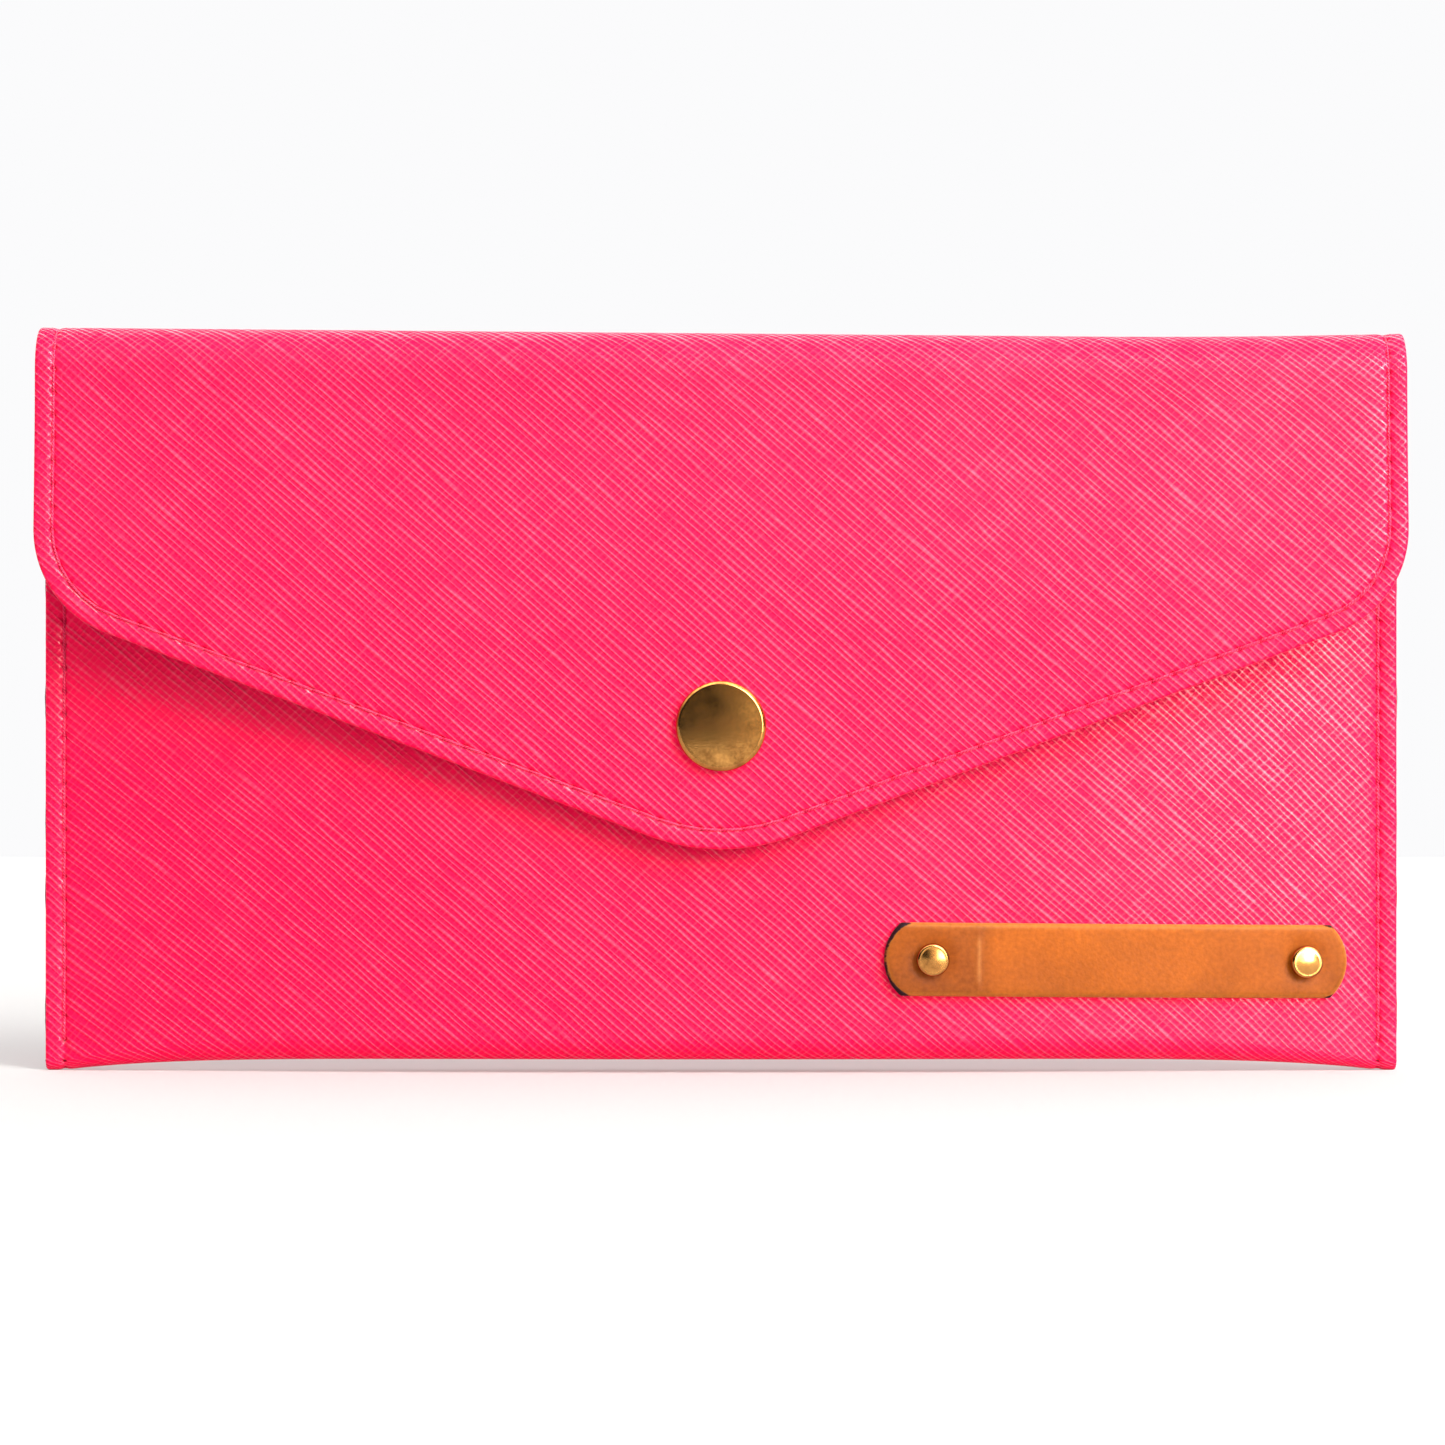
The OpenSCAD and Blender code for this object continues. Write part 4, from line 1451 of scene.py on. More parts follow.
    def flap_cut(self, fine: bool, trim: float) -> Cut:
        """Cuts the flap, from the crest of the fold to the tip.

        Args:
            fine: Whether it is stitched leather, with needle holes and a rounded edge.
            trim: How far its edge is taken in.

        Returns:
            The flat pattern.
        """
        s = self.sheet
        cut = Cut()
        edge, length = s.flap_edge(trim)
        count = max(2, round(length / s.pitch))
        pitch = length / count
        step = pitch / 4 if fine else self.lining_rim
        shares = spread(0.0, length, step)
        drop = RIM_ROWS[0][1] * s.leather if fine else 0.0
        left = [(-u, v) for u, v in map(edge, shares)]
        right = [edge(d) for d in reversed(shares)]
        for u, v in left + right[1:]:
            cut.rim.append(cut.add(u, v, drop))
        for u, press in reversed(self.across(s.flap_half - trim, fine)[1:-1]):
            cut.rim.append(cut.add(u, 0.0, press))
        if fine:
            self.edge_rows(cut, [(i * MM, p * s.leather) for i, p in RIM_ROWS[1:]], shares)
            self.hole_rows(cut, length, pitch)
            outer = s.stitch_inset - 1.5 * MM
            self.edge_rows(cut, [(outer, 0.0)], spread(0.0, length, pitch / 3))
            self.fill(cut, self.flap_clear, self.flap_grid)
        else:
            self.fill(cut, trim + 1.5 * MM, self.lining_grid)
        return cut

    def edge_rows(
        self, cut: Cut, rows: Sequence[tuple[float, float]], shares: Sequence[float]
    ) -> None:
        """Adds rows of points that follow the flap's edge, each with its inset and its depth."""
        for inset, press in rows:
            edge, _ = self.sheet.flap_edge(inset)
            for d in shares[1:]:
                cut.add_pair(*edge(d), press)

    def hole_rows(self, cut: Cut, length: float, pitch: float) -> None:
        """Adds the fine points along the flap's stitching."""
        s = self.sheet
        for away in SEAM.lines():
            edge, _ = s.flap_edge(s.stitch_inset + away)
            for i in range(1, round(length / pitch) * SEAM.samples + 1):
                d = i * pitch / SEAM.samples
                press, near = SEAM.marks(abs(away), (i / SEAM.samples) % 1, pitch)
                cut.add_pair(*edge(d), press, near)

    def fill(self, cut: Cut, inset: float, grid: float) -> None:
        """Adds an even grid of points inside the flap, an inset away from its edge."""
        s = self.sheet
        edge, length = s.flap_edge(inset)
        lower = [edge(d) for d in spread(0.0, length, MM)]
        us, vs = (np.array(c) for c in zip(*reversed(lower)))
        reach = s.corner_x + s.corner_radius - inset
        for v in self.section_rows(float(vs.min()), 0.0, grid)[:-1]:
            for x in spread(-reach, reach, grid):
                if v > float(np.interp(abs(x), us, vs)):
                    cut.add(x, v)

    def side_holes(self, v0: float, v1: float, phase0: float) -> list[float]:
        """Places of the side seams' needle holes between two places of the strip."""
        pitch = self.sheet.pitch
        first = math.ceil((v0 - phase0) / pitch - 1e-6)
        last = math.floor((v1 - phase0) / pitch + 1e-6)
        return [phase0 + i * pitch for i in range(first, last + 1)]

    def sew_sides(
        self, row: StitchRow, sides: Sequence[int], holes: Sequence[float], inside: bool = False
    ) -> None:
        """Sews straight rows up the side seams, on the outer face and, if asked, on the lining.

        Args:
            row: The row of stitches to add to.
            sides: 1 for the right seam and -1 for the left one.
            holes: Places of the needle holes along the strip.
            inside: Whether the inner face is sewn too.
        """
        s = self.sheet
        v = np.array(holes)
        for side in sides:
            x = np.full_like(v, side * s.seam_x)
            place, out = s.place(x, v), s.normals(x, v)
            row.sew(place, out)
            if inside:
                row.sew(place - out * s.wall, -out)

    def build_pouch(self) -> None:
        """Makes the front, base and back of the pouch, its lining and its side seams."""
        s = self.sheet
        marks = s.marks()
        v0, v1 = marks[0], marks[-1]
        phase0 = v1 - s.pitch
        cut = self.rectangle(v0, v1, lambda v: s.half_w, True, phase0)
        leather = self.leather_shell("pouch_leather_sheet", cut)
        settle(leather, Body.POUCH, Slot.PINK_LEATHER, "pouch_leather")
        frayed = self.rectangle(v0, v1, lambda v: s.half_w + self.fray(v), False, phase0)
        lining = self.lining_shell("pouch_lining_cloth", frayed)
        settle(lining, Body.POUCH, Slot.LINING, "pouch_lining")
        back = self.side_holes(v0 - s.pitch / 2, marks[1] + 0.2 * MM, phase0)
        front = self.side_holes(marks[4] - 0.2 * MM, v1, phase0)
        for side, label in ((-1, "left"), (1, "right")):
            row = StitchRow(f"{label}_seam_stitches")
            self.sew_sides(row, [side], back)
            self.sew_sides(row, [side], front)
            settle(row.build(), Body.POUCH, Slot.PINK_THREAD, f"{label}_seam_thread")
        self.build_mouth()

    def fray(self, v: float) -> float:
        """How far the lining's cut edge stands out at v, in short uneven tufts."""
        return 0.12 * MM + 0.14 * MM * math.sin(v / (1.7 * MM)) * math.sin(v / (7.3 * MM) + 0.6)

    def build_mouth(self) -> None:
        """Sews the row under the pocket's mouth, across the front."""
        s = self.sheet
        reach = s.seam_x - 3 * s.pitch
        x = np.array(spread(-reach, reach, s.pitch))
        v = np.full_like(x, s.marks()[-1] - s.stitch_inset)
        row = StitchRow("mouth_stitches")
        row.sew(s.place(x, v), s.normals(x, v))
        settle(row.build(), Body.POUCH, Slot.PINK_THREAD, "mouth_thread")

    def build_fold(self) -> None:
        """Makes the rear half of the top fold, its lining and its stitches."""
        s = self.sheet
        phase0 = s.marks()[-1] - s.pitch
        cut = self.rectangle(0.0, s.split_v, self.back_half, True, phase0)
        leather = self.leather_shell("fold_leather_sheet", cut)
        self.join(leather, Slot.PINK_LEATHER, 1, "fold_leather")
        plain = self.rectangle(0.0, s.split_v, self.back_half, False, phase0)
        lining = self.lining_shell("fold_lining_cloth", plain)
        self.join(lining, Slot.LINING, 1, "fold_lining")
        row = StitchRow("fold_stitches")
        holes = self.side_holes(0.0, s.split_v - s.pitch / 2, phase0)
        self.sew_sides(row, (-1, 1), holes, inside=True)
        self.join(row.build(), Slot.PINK_THREAD, 1, "fold_thread")

    def build_flap(self) -> None:
        """Makes the flap, its lining and the stitching round its edge."""
        s = self.sheet
        leather = self.leather_shell("flap_leather_sheet", self.flap_cut(True, 0.0))
        self.join(leather, Slot.PINK_LEATHER, -1, "flap_leather")
        lining = self.lining_shell("flap_lining_cloth", self.flap_cut(False, self.lining_trim))
        self.join(lining, Slot.LINING, -1, "flap_lining")
        line, length = s.flap_edge(s.stitch_inset)
        count = round(length / s.pitch)
        half = [line(length * i / count) for i in range(count + 1)]
        whole = [(-u, v) for u, v in half] + half[-2::-1]
        u, v = (np.array(c) for c in zip(*whole))
        place, out = s.place(u, v), s.normals(u, v)
        row = StitchRow("flap_stitches")
        row.sew(place, out)
        row.sew(place - out * s.wall, -out)
        self.join(row.build(), Slot.PINK_THREAD, -1, "flap_thread")

    def build(self) -> None:
        """Makes all the leather, lining and pink thread."""
        self.build_pouch()
        self.build_fold()
        self.build_flap()


# ----- Turned metal -----


# The sharpest turn, in degrees, that turned metal shades smooth.
METAL_EDGE = 40.0
# The way that the front of the wallet faces.
FORWARD = Vector((0, -1, 0))


@dataclass(frozen=True)
class Arc:
    """A round stretch of a turned profile.

    Attributes:
        r: Its centre's distance from the axis.
        h: Its centre's height.
        radius: Its radius.
        start: Where it starts, in degrees.
        end: Where it ends, in degrees.
        steps: How many straight pieces it is made of.
    """

    r: float
    h: float
    radius: float
    start: float
    end: float
    steps: int = 8

    def points(self) -> list[tuple[float, float]]:
        """Points along the arc, as (radius, height)."""
        turns = np.radians(np.linspace(self.start, self.end, self.steps + 1))
        radius = self.radius
        return [(self.r + radius * math.cos(a), self.h + radius * math.sin(a)) for a in turns]


@dataclass
class Turned:
    """A piece turned round an axis that stands on a face.

    Attributes:
        name: The object's name.
        profile: Points (radius, height) and arcs, from the axis or the bore round to it again.
        foot: Where height 0 lies on the axis.
        out: The axis, from the face outwards.
        steps: How many sides the turning has.
    """

    name: str
    profile: list[tuple[float, float] | Arc]
    foot: Vector
    out: Vector
    steps: int = 96

    def build(self) -> Object:
        """Returns the turned piece, closed, with its poles joined."""
        points: list[tuple[float, float]] = []
        for item in self.profile:
            points += item.points() if isinstance(item, Arc) else [item]
        out = self.out.normalized()
        side = out.orthogonal().normalized()
        up = out.cross(side)
        places, rings = [], []
        for r, h in points:
            if r < TINY * 0.1:
                rings.append([len(places)] * self.steps)
                places.append(self.foot + out * h)
                continue
            rings.append(list(range(len(places), len(places) + self.steps)))
            for k in range(self.steps):
                a = 2 * math.pi * k / self.steps
                places.append(self.foot + out * h + (side * math.cos(a) + up * math.sin(a)) * r)
        loops = []
        closed = points[0][0] > TINY * 0.1
        pairs = list(zip(rings, rings[1:])) + ([(rings[-1], rings[0])] if closed else [])
        for first, second in pairs:
            for k in range(self.steps):
                n = (k + 1) % self.steps
                loop = list(dict.fromkeys([first[k], second[k], second[n], first[n]]))
                if len(loop) > 2:
                    loops.append(loop)
        mesh = smooth_mesh(self.name, places, loops, METAL_EDGE)
        mesh.validate()
        return add_object(self.name, mesh)


@dataclass
class PressStud:
    """The press stud: a cap and a socket on the flap, and a stud and a post on the front.

    Attributes:
        sheet: The strip that it is set in.
        shank: Radius of the cap's and the post's shanks.
        clear: The gap between a shank and the part round it.
        wall: Thickness of the socket's plate.
        cavity: How far the socket's room reaches past the shank.
        seat: How far the cap is pressed into the leather.
        dome_share: Radius of the cap's dome, as a share of its own.
        dome_drop: How far the dome falls to its rim, as a share of its height.
        dome_steps: How many straight pieces the dome is made of.
        round_r: Radius of the cap's shoulder.
        floor_depth: How far past the pouch's wall the floor of the post's bore lies.
        wire_sides: How many sides the spring's wire has.
        wire_turns: How many rings of points the spring has.
        gap: Where the spring's ring starts and ends, in degrees.
    """

    sheet: Sheet
    shank: float = 1.75 * MM
    clear: float = 0.08 * MM
    wall: float = 0.35 * MM
    cavity: float = 1.65 * MM
    seat: float = 0.03 * MM
    dome_share: float = 0.9
    dome_drop: float = 0.06
    dome_steps: int = 12
    round_r: float = 0.3 * MM
    floor_depth: float = 1.05 * MM
    wire_sides: int = 12
    wire_turns: int = 97
    gap: tuple[float, float] = (110, 430)

    def fit(
        self, thing: Object, body: Body, node: str, finish: Finish = BRASS, slot: Slot = Slot.BRASS
    ) -> None:
        """Dresses a piece, lets it ride and hides the node that it stands for."""
        settle(dress(thing, finish), body, slot, node)

    def build_cap(self) -> None:
        """Makes the cap, with the clenched shank that holds it in the flap."""
        low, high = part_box("snap_cap")
        cap_r = (high.x - low.x) / 2
        foot = Vector((0, self.sheet.flap_y - self.seat, self.sheet.snap_z))
        height, inner_end = foot.y - low.y, foot.y - high.y
        flange, inner_wall = self.shank + 0.5 * MM, inner_end + 0.2 * MM
        edge, steps = cap_r * self.dome_share, self.dome_steps
        rim = height * (1 - self.dome_drop)
        dome = [
            (edge * k / steps, height * (1.0 - self.dome_drop * (k / steps) ** 2))
            for k in range(steps + 1)
        ]
        profile = [
            (0.0, inner_end),
            (flange, inner_end),
            (flange, inner_wall),
            (self.shank, inner_wall),
            (self.shank, 0.0),
            (edge, 0.0),
            Arc(cap_r - self.round_r, self.round_r, self.round_r, -90, 0, 6),
            Arc(cap_r - self.round_r, rim - 0.55 * MM, self.round_r, 0, 42, 6),
            Arc(cap_r - self.round_r - 0.25 * MM, rim - 0.3 * MM, self.round_r, 48, 84, 6),
            *reversed(dome),
        ]
        self.fit(Turned("stud_cap", profile, foot, FORWARD).build(), Body.FLAP, "snap_cap")

    def build_socket(self) -> None:
        """Makes the socket under the flap."""
        low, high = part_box("snap_socket")
        socket_r, cavity_r = (high.x - low.x) / 2, self.shank + self.cavity
        tall, bore, bead = high.y - low.y, self.shank + self.clear, 0.17 * MM
        profile = [
            Arc(socket_r - 0.6 * MM, 0.3 * MM, 0.3 * MM, 10, -90, 6),
            (socket_r - 0.3 * MM, tall * 0.35),
            Arc(socket_r - 0.45 * MM, tall - 0.42 * MM, 0.42 * MM, 95, -60, 10),
            (socket_r - 1.2 * MM, tall - 0.18 * MM),
            (socket_r - 1.4 * MM, tall),
            Arc(cavity_r - bead, tall - bead, bead, 270, 90, 8),
            (cavity_r, tall - self.wall),
            (cavity_r, self.wall),
            (bore, self.wall),
            (bore, 0.0),
        ]
        foot = Vector((0, low.y, self.sheet.snap_z))
        self.fit(Turned("stud_socket", profile, foot, -FORWARD).build(), Body.FLAP, "snap_socket")

    def build_stud(self) -> None:
        """Makes the stud on the front."""
        low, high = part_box("snap_stud")
        tall, plate_r = high.y - low.y, (high.x - low.x) / 2
        neck, head, bore = self.shank + 0.6 * MM, self.shank + 0.95 * MM, self.shank + self.clear
        profile = [
            (bore, 0.0),
            (plate_r - 0.2 * MM, 0.0),
            Arc(plate_r - 0.22 * MM, 0.25 * MM, 0.22 * MM, -90, 80, 6),
            (neck + 0.5 * MM, 0.5 * MM),
            Arc(neck + 0.4 * MM, 0.9 * MM, 0.4 * MM, 270, 180, 5),
            Arc(head - 0.4 * MM, tall - 0.4 * MM, 0.4 * MM, -30, 90, 8),
            (self.shank + 0.2 * MM, tall),
            (bore, tall - 0.1 * MM),
        ]
        foot = Vector((0, high.y, self.sheet.snap_z))
        self.fit(Turned("stud_head", profile, foot, FORWARD).build(), Body.POUCH, "snap_stud")

    def build_post(self) -> None:
        """Makes the hollow post that goes through the front and is clenched over the stud."""
        low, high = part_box("snap_post")
        post_r, reach = (high.x - low.x) / 2, high.y - low.y
        bore, bore_r = self.floor_depth + self.sheet.wall, self.shank - 0.45 * MM
        profile = [
            (0.0, 0.5 * MM),
            (0.8 * MM, 0.5 * MM),
            (0.9 * MM, 0.0),
            (post_r - 0.4 * MM, 0.0),
            Arc(post_r - 0.35 * MM, 0.35 * MM, 0.35 * MM, -90, 90, 8),
            (self.shank, 0.7 * MM),
            (self.shank, reach - 0.2 * MM),
            Arc(self.shank + 0.38 * MM, reach - 0.1 * MM, 0.1 * MM, -90, 90, 5),
            (self.shank - 0.2 * MM, reach),
            (bore_r, reach - 0.25 * MM),
            (bore_r, bore + 0.1 * MM),
            (0.0, bore),
        ]
        foot = Vector((0, high.y, self.sheet.snap_z))
        self.fit(Turned("stud_post", profile, foot, FORWARD).build(), Body.POUCH, "snap_post")

    def build(self) -> None:
        """Makes the four turned pieces and the spring."""
        self.build_cap()
        self.build_socket()
        self.build_spring()
        self.build_stud()
        self.build_post()

    def build_spring(self) -> None:
        """Bends the split ring of wire that sits in the socket."""
        low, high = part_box("snap_spring")
        wire = (high.y - low.y) / 2
        middle = Vector(((low.x + high.x) / 2, (low.y + high.y) / 2, self.sheet.snap_z))
        ring = (high.x - low.x) / 2 - wire
        turns = np.radians(np.linspace(*self.gap, self.wire_turns))
        points, loops, sides = [], [], self.wire_sides
        for a in turns:
            radial = Vector((math.cos(a), 0, math.sin(a)))
            for k in range(sides):
                b = 2 * math.pi * k / sides
                outward = radial * (ring + wire * math.cos(b))
                points.append(middle + outward - FORWARD * wire * math.sin(b))
        for i in range(len(turns) - 1):
            for k in range(sides):
                n = (k + 1) % sides
                here, following = i * sides, (i + 1) * sides
                loops.append([here + k, here + n, following + n, following + k])
        loops.append(list(range(sides))[::-1])
        loops.append([(len(turns) - 1) * sides + k for k in range(sides)])
        thing = add_object("stud_spring", smooth_mesh("stud_spring", points, loops, 50.0))
        self.fit(thing, Body.FLAP, "snap_spring", WIRE, Slot.SPRING)


# ----- Name strap -----


@dataclass
class NameStrap:
    """The blank tan strap with its two rivets, bent to the swell of the front.

    Attributes:
        sheet: The sheet that it lies on.
        thickness: The strap's thickness.
        gap: The gap behind it.
        end_radius: Radius of its bowed ends.
        tilt: How far its right end hangs down, in degrees.
        crease: Where a shallow step crosses it, from its left end.
        rivet_d: Diameter of the rivets' heads.
        shank_r: Radius of the rivets' shanks.
        grid: Distance between its mesh points.
        clear: How far inside its edge the even grid starts.
    """

    sheet: Sheet
    thickness: float = 1.6 * MM
    gap: float = 0.06 * MM
    end_radius: float = 6.6 * MM
    tilt: float = 0.6
    crease: float = 13.0 * MM
    rivet_d: float = 4.6 * MM
    shank_r: float = 1.0 * MM
    grid: float = 0.45 * MM
    clear: float = 0.85 * MM

    def __post_init__(self) -> None:
        """Reads the strap's and rivets' places from the frame."""
        low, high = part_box("name_strap")
        self.centre = Vector(((low.x + high.x) / 2, 0, (low.z + high.z) / 2))
        self.half_l, self.half_w = (high.x - low.x) / 2, (high.z - low.z) / 2
        low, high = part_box("strap_rivets")
        self.rivet_x = (low.x + self.rivet_d / 2, high.x - self.rivet_d / 2)

    def surface(self, x: Array, z: Array) -> Array:
        """The strap's outer face for places relative to its middle."""
        turn = math.radians(-self.tilt)
        u = x * math.cos(turn) - z * math.sin(turn) + self.centre.x
        w = x * math.sin(turn) + z * math.cos(turn) + self.centre.z
        return np.stack([u, self.sheet.front(u) - self.gap - self.thickness, w], 1)

    def normals(self, x: Array, z: Array) -> Array:
        """Outward normals of the strap's outer face."""
        return facing(self.surface, x, z, 0.05 * MM)

    def outline(self, inset: float) -> list[tuple[float, float]]:
        """The strap's outline, anticlockwise, taken in by an inset."""
        radius, half_w = self.end_radius - inset, self.half_w - inset
        middle = self.half_l - self.end_radius
        swing = math.asin(half_w / radius)
        straight = middle + radius * math.cos(swing)
        bow = spread(-swing, swing, math.radians(4))
        rows = spread(-straight, straight, 0.5 * MM)
        points = [(x, -half_w) for x in rows[:-1]]
        points += [(middle + radius * math.cos(a), radius * math.sin(a)) for a in bow[:-1]]
        points += [(x, half_w) for x in reversed(rows[1:])]
        points += [(-middle - radius * math.cos(a), -radius * math.sin(a)) for a in bow[:-1]]
        return points

    def sink(self, x: float, z: float) -> float:
        """How far the face is pressed in at a place: round the rivets and past the crease."""
        depth = 0.0
        for place in self.rivet_x:
            d = math.hypot(x - (place - self.centre.x), z)
            depth += 0.28 * MM * math.exp(-((d / (2.9 * MM)) ** 4))
        past = x + self.half_l - self.crease
        step = 0.07 * MM * float(smooth_step(past / (0.5 * MM)))
        line = 0.05 * MM * math.exp(-((past / (0.25 * MM)) ** 2))
        waves = 0.05 * MM * math.sin(x / (3.1 * MM)) * math.sin(z / (2.3 * MM) + 0.5)
        return depth + step - line + waves

    def build_leather(self) -> None:
        """Makes the strap itself."""
        cut = Cut()
        for u, v in self.outline(0.0):
            cut.rim.append(cut.add(u, v, STRAP_ROWS[0][1] * MM + self.sink(u, v)))
        for inset, drop in STRAP_ROWS[1:]:
            for u, v in self.outline(inset * MM):
                cut.add(u, v, drop * MM + self.sink(u, v))
        for x in spread(-self.half_l, self.half_l, self.grid):
            for z in spread(-self.half_w, self.half_w, self.grid):
                past = abs(x) - (self.half_l - self.end_radius)
                inside = past < 0 or math.hypot(past, z) < self.end_radius - self.clear
                if inside and abs(z) < self.half_w - self.clear:
                    cut.add(x, z, self.sink(x, z))
        faces = (self.surface, self.normals)
        strap = shell_mesh("name_strap_leather", cut, *faces, 0.0, self.thickness, 0.12 * MM)
        self.mark_wear(strap, cut)
        settle(dress(strap, TAN, TAN, TAN), Body.POUCH, Slot.TAN_LEATHER, "name_strap")

    def mark_wear(self, strap: Object, cut: Cut) -> None:
        """Notes a painted highlight along the strap's rim with a paler line along its crease,
        painted shade and tone ramps along it, and where it is burnt, at its ends.
        """
        places = np.array(cut.places)
        every = np.concatenate([places, places] + [places[cut.rim]] * len(WALL_ROWS))
        x, z = every.T
        from_crease = x + self.half_l - self.crease
        past = np.abs(x) - (self.half_l - self.end_radius)
        to_end = self.end_radius - np.where(past > 0, np.hypot(np.maximum(past, 0), z), 0)
        edge = np.minimum(to_end, self.half_w - np.abs(z))
        # Painted highlight along the rim, where the bevel catches the light, and a paler line along
        # the crease.
        rubbed = 0.8 * np.exp(-((edge / (0.32 * MM)) ** 2))
        faint = 1 - smooth_step((np.abs(z) - 2.2 * MM) / (1.6 * MM))
        rubbed += 0.5 * faint * np.exp(-((from_crease / (0.25 * MM)) ** 2))
        corner = np.clip(np.abs(z) / self.half_w, 0, 1)
        strength = np.where(x < 0, 0.62 + 0.5 * corner**2, 0.85 * corner**5)
        reach = (0.42 + 0.4 * corner**4) * MM
        burnt = strength * np.exp(-((np.maximum(to_end, 0) / reach) ** 2))
        # Painted shade: darker at the left end, where the left rivet's shadow falls; the tone also
        # grows lighter towards the top edge and darker towards the right end.
        waxed = 0.16 + 0.34 * smooth_step(from_crease / (2.5 * MM))
        waxed += 0.14 * z / self.half_w - 0.2 * smooth_step((x - 0.2 * self.half_l) / self.half_l)
        for name, values in (("waxed", waxed), ("rubbed", rubbed), ("burnt", burnt)):
            store(strap.data, name, values)

    def build_rivets(self) -> None:
        """Makes the rivets' heads with their shanks, and the backs inside the pocket."""
        r, seat = self.rivet_d / 2, 0.12 * MM
        depth, hole_r = self.thickness + self.sheet.wall, self.shank_r + 0.05 * MM
        crown = [
            (r * 0.82 * (1 - k / 6), (1.5 + 0.16 * math.sin(k / 6 * math.pi / 2)) * MM)
            for k in range(7)
        ]
        head = [
            (0.0, -depth),
            (self.shank_r, -depth),
            (self.shank_r, 0.0),
            (r - 0.35 * MM, 0.0),
            Arc(r - 0.5 * MM, 0.55 * MM, 0.5 * MM, -70, 0, 6),
            Arc(r - 0.6 * MM, 0.95 * MM, 0.6 * MM, 0, 68, 12),
            *crown,
        ]
        back = [
            Arc(r - 0.4 * MM, 0.4 * MM, 0.38 * MM, 80, -90, 8),
            (r * 0.5, 0.76 * MM),
            (0.0, 0.8 * MM),
            (0.0, 0.45 * MM),
            (hole_r, 0.45 * MM),
            (hole_r, 0.0),
        ]
        heads, backs = [], []
        for x in self.rivet_x:
            run = np.array([(x - self.centre.x) / math.cos(math.radians(self.tilt))])
            face = Vector(self.surface(run, np.zeros(1))[0])
            out = Vector(self.normals(run, np.zeros(1))[0])
            heads.append(Turned("strap_rivet", head, face - out * seat, out, 64).build())
            foot = face - out * (depth + seat)
            backs.append(Turned("strap_rivet_back", back, foot, -out, 64).build())
        for group, name, node in (
            (heads, "strap_rivet_heads", "strap_rivets"),
            (backs, "strap_rivet_bases", "strap_rivet_backs"),
        ):
            settle(dress(join(name, group), BRASS), Body.POUCH, Slot.BRASS, node)

    def build(self) -> None:
        """Makes the strap and its rivets."""
        self.build_leather()
        self.build_rivets()


def join(name: str, things: Sequence[Object]) -> Object:
    """Joins objects with no materials into one, and returns it under a new name."""
    points, loops = [], []
    for thing in things:
        start = len(points)
        points += [tuple(v.co) for v in thing.data.vertices]
        loops += [[start + i for i in p.vertices] for p in thing.data.polygons]
        mesh = thing.data
        bpy.data.objects.remove(thing)
        bpy.data.meshes.remove(mesh)
    return add_object(name, smooth_mesh(name, points, loops, METAL_EDGE))


# ----- Inner pockets -----


@dataclass
class PocketCloth:
    """One inner pocket's cloth, with a turned hem along its top edge.

    Attributes:
        name: The object's name.
        node: The node that it stands for.
        hem: Height of the hem.
        step: Height of the ledge under the hem.
        ledge: How much deeper the cloth lies under the hem.
        grid: Distance between its mesh points.
        lean: How far the middle of its front leans forward.
    """

    name: str
    node: str
    hem: float = 6 * MM
    step: float = 0.3 * MM
    ledge: float = 0.1 * MM
    grid: float = 3 * MM
    lean: float = 0.12 * MM

    def __post_init__(self) -> None:
        """Reads the pocket's place from the frame."""
        self.low, self.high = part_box(self.node)

    def surface(self, x: Array, z: Array) -> Array:
        """The pocket's front face, which leans a little forward at the middle of its width."""
        share = (x - self.low.x) / (self.high.x - self.low.x)
        lean = self.lean * np.sin(share * math.pi)
        return np.stack([x, np.full_like(x, self.low.y) + self.lean - lean, z], 1)

    def normals(self, x: Array, z: Array) -> Array:
        """The pocket's normals, towards the front."""
        return np.tile(np.array(FORWARD), (len(x), 1))

    def build(self) -> None:
        """Makes the cloth."""
        low, high = self.low, self.high
        cut = Cut()
        us, vs = spread(low.x, high.x, self.grid), spread(low.z, high.z, self.grid)
        rim = [(u, vs[0]) for u in us[:-1]] + [(us[-1], v) for v in vs[:-1]]
        rim += [(u, vs[-1]) for u in reversed(us[1:])] + [(us[0], v) for v in reversed(vs[1:])]
        cut.rim = [cut.add(u, v) for u, v in rim]
        for u in us[1:-1]:
            for v in vs[1:-1]:
                cut.add(u, v)
            cut.add(u, high.z - self.hem)
            cut.add(u, high.z - self.hem - self.step, self.ledge)
        thick = high.y - low.y - self.lean
        thing = shell_mesh(self.name, cut, self.surface, self.normals, 0.0, thick, 0.03 * MM)
        dress(thing, POCKET_CLOTH, POCKET_CLOTH, POCKET_CLOTH)
        settle(thing, Body.POUCH, Slot.POCKETS, self.node)


@dataclass
class InnerPockets:
    """The slip pocket and the card pocket sewn to the back lining.

    Attributes:
        pitch: Distance from stitch to stitch.
        inset: How far inside the thread's ends the outer rows lie.
    """

    pitch: float = 3.2 * MM
    inset: float = 0.2 * MM

    def build(self) -> None:
        """Makes both pockets and the three rows of thread that hold and divide the front one."""
        PocketCloth("slip_pocket_cloth", "slip_pocket").build()
        PocketCloth("card_pocket_cloth", "card_pocket").build()
        low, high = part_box("pocket_thread")
        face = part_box("card_pocket")[0].y
        row = StitchRow("pocket_stitches", GREY_THREAD, 0.2 * MM, 0.1 * MM, 0.3 * MM)
        for x in (low.x + self.inset, (low.x + high.x) / 2, high.x - self.inset):
            z = np.array(spread(low.z, high.z, self.pitch))
            places = np.stack([np.full_like(z, x), np.full_like(z, face), z], 1)
            row.sew(places, np.tile(np.array(FORWARD), (len(z), 1)))
        settle(row.build(), Body.POUCH, Slot.LINING_THREAD, "pocket_thread")


# ----- Studio -----


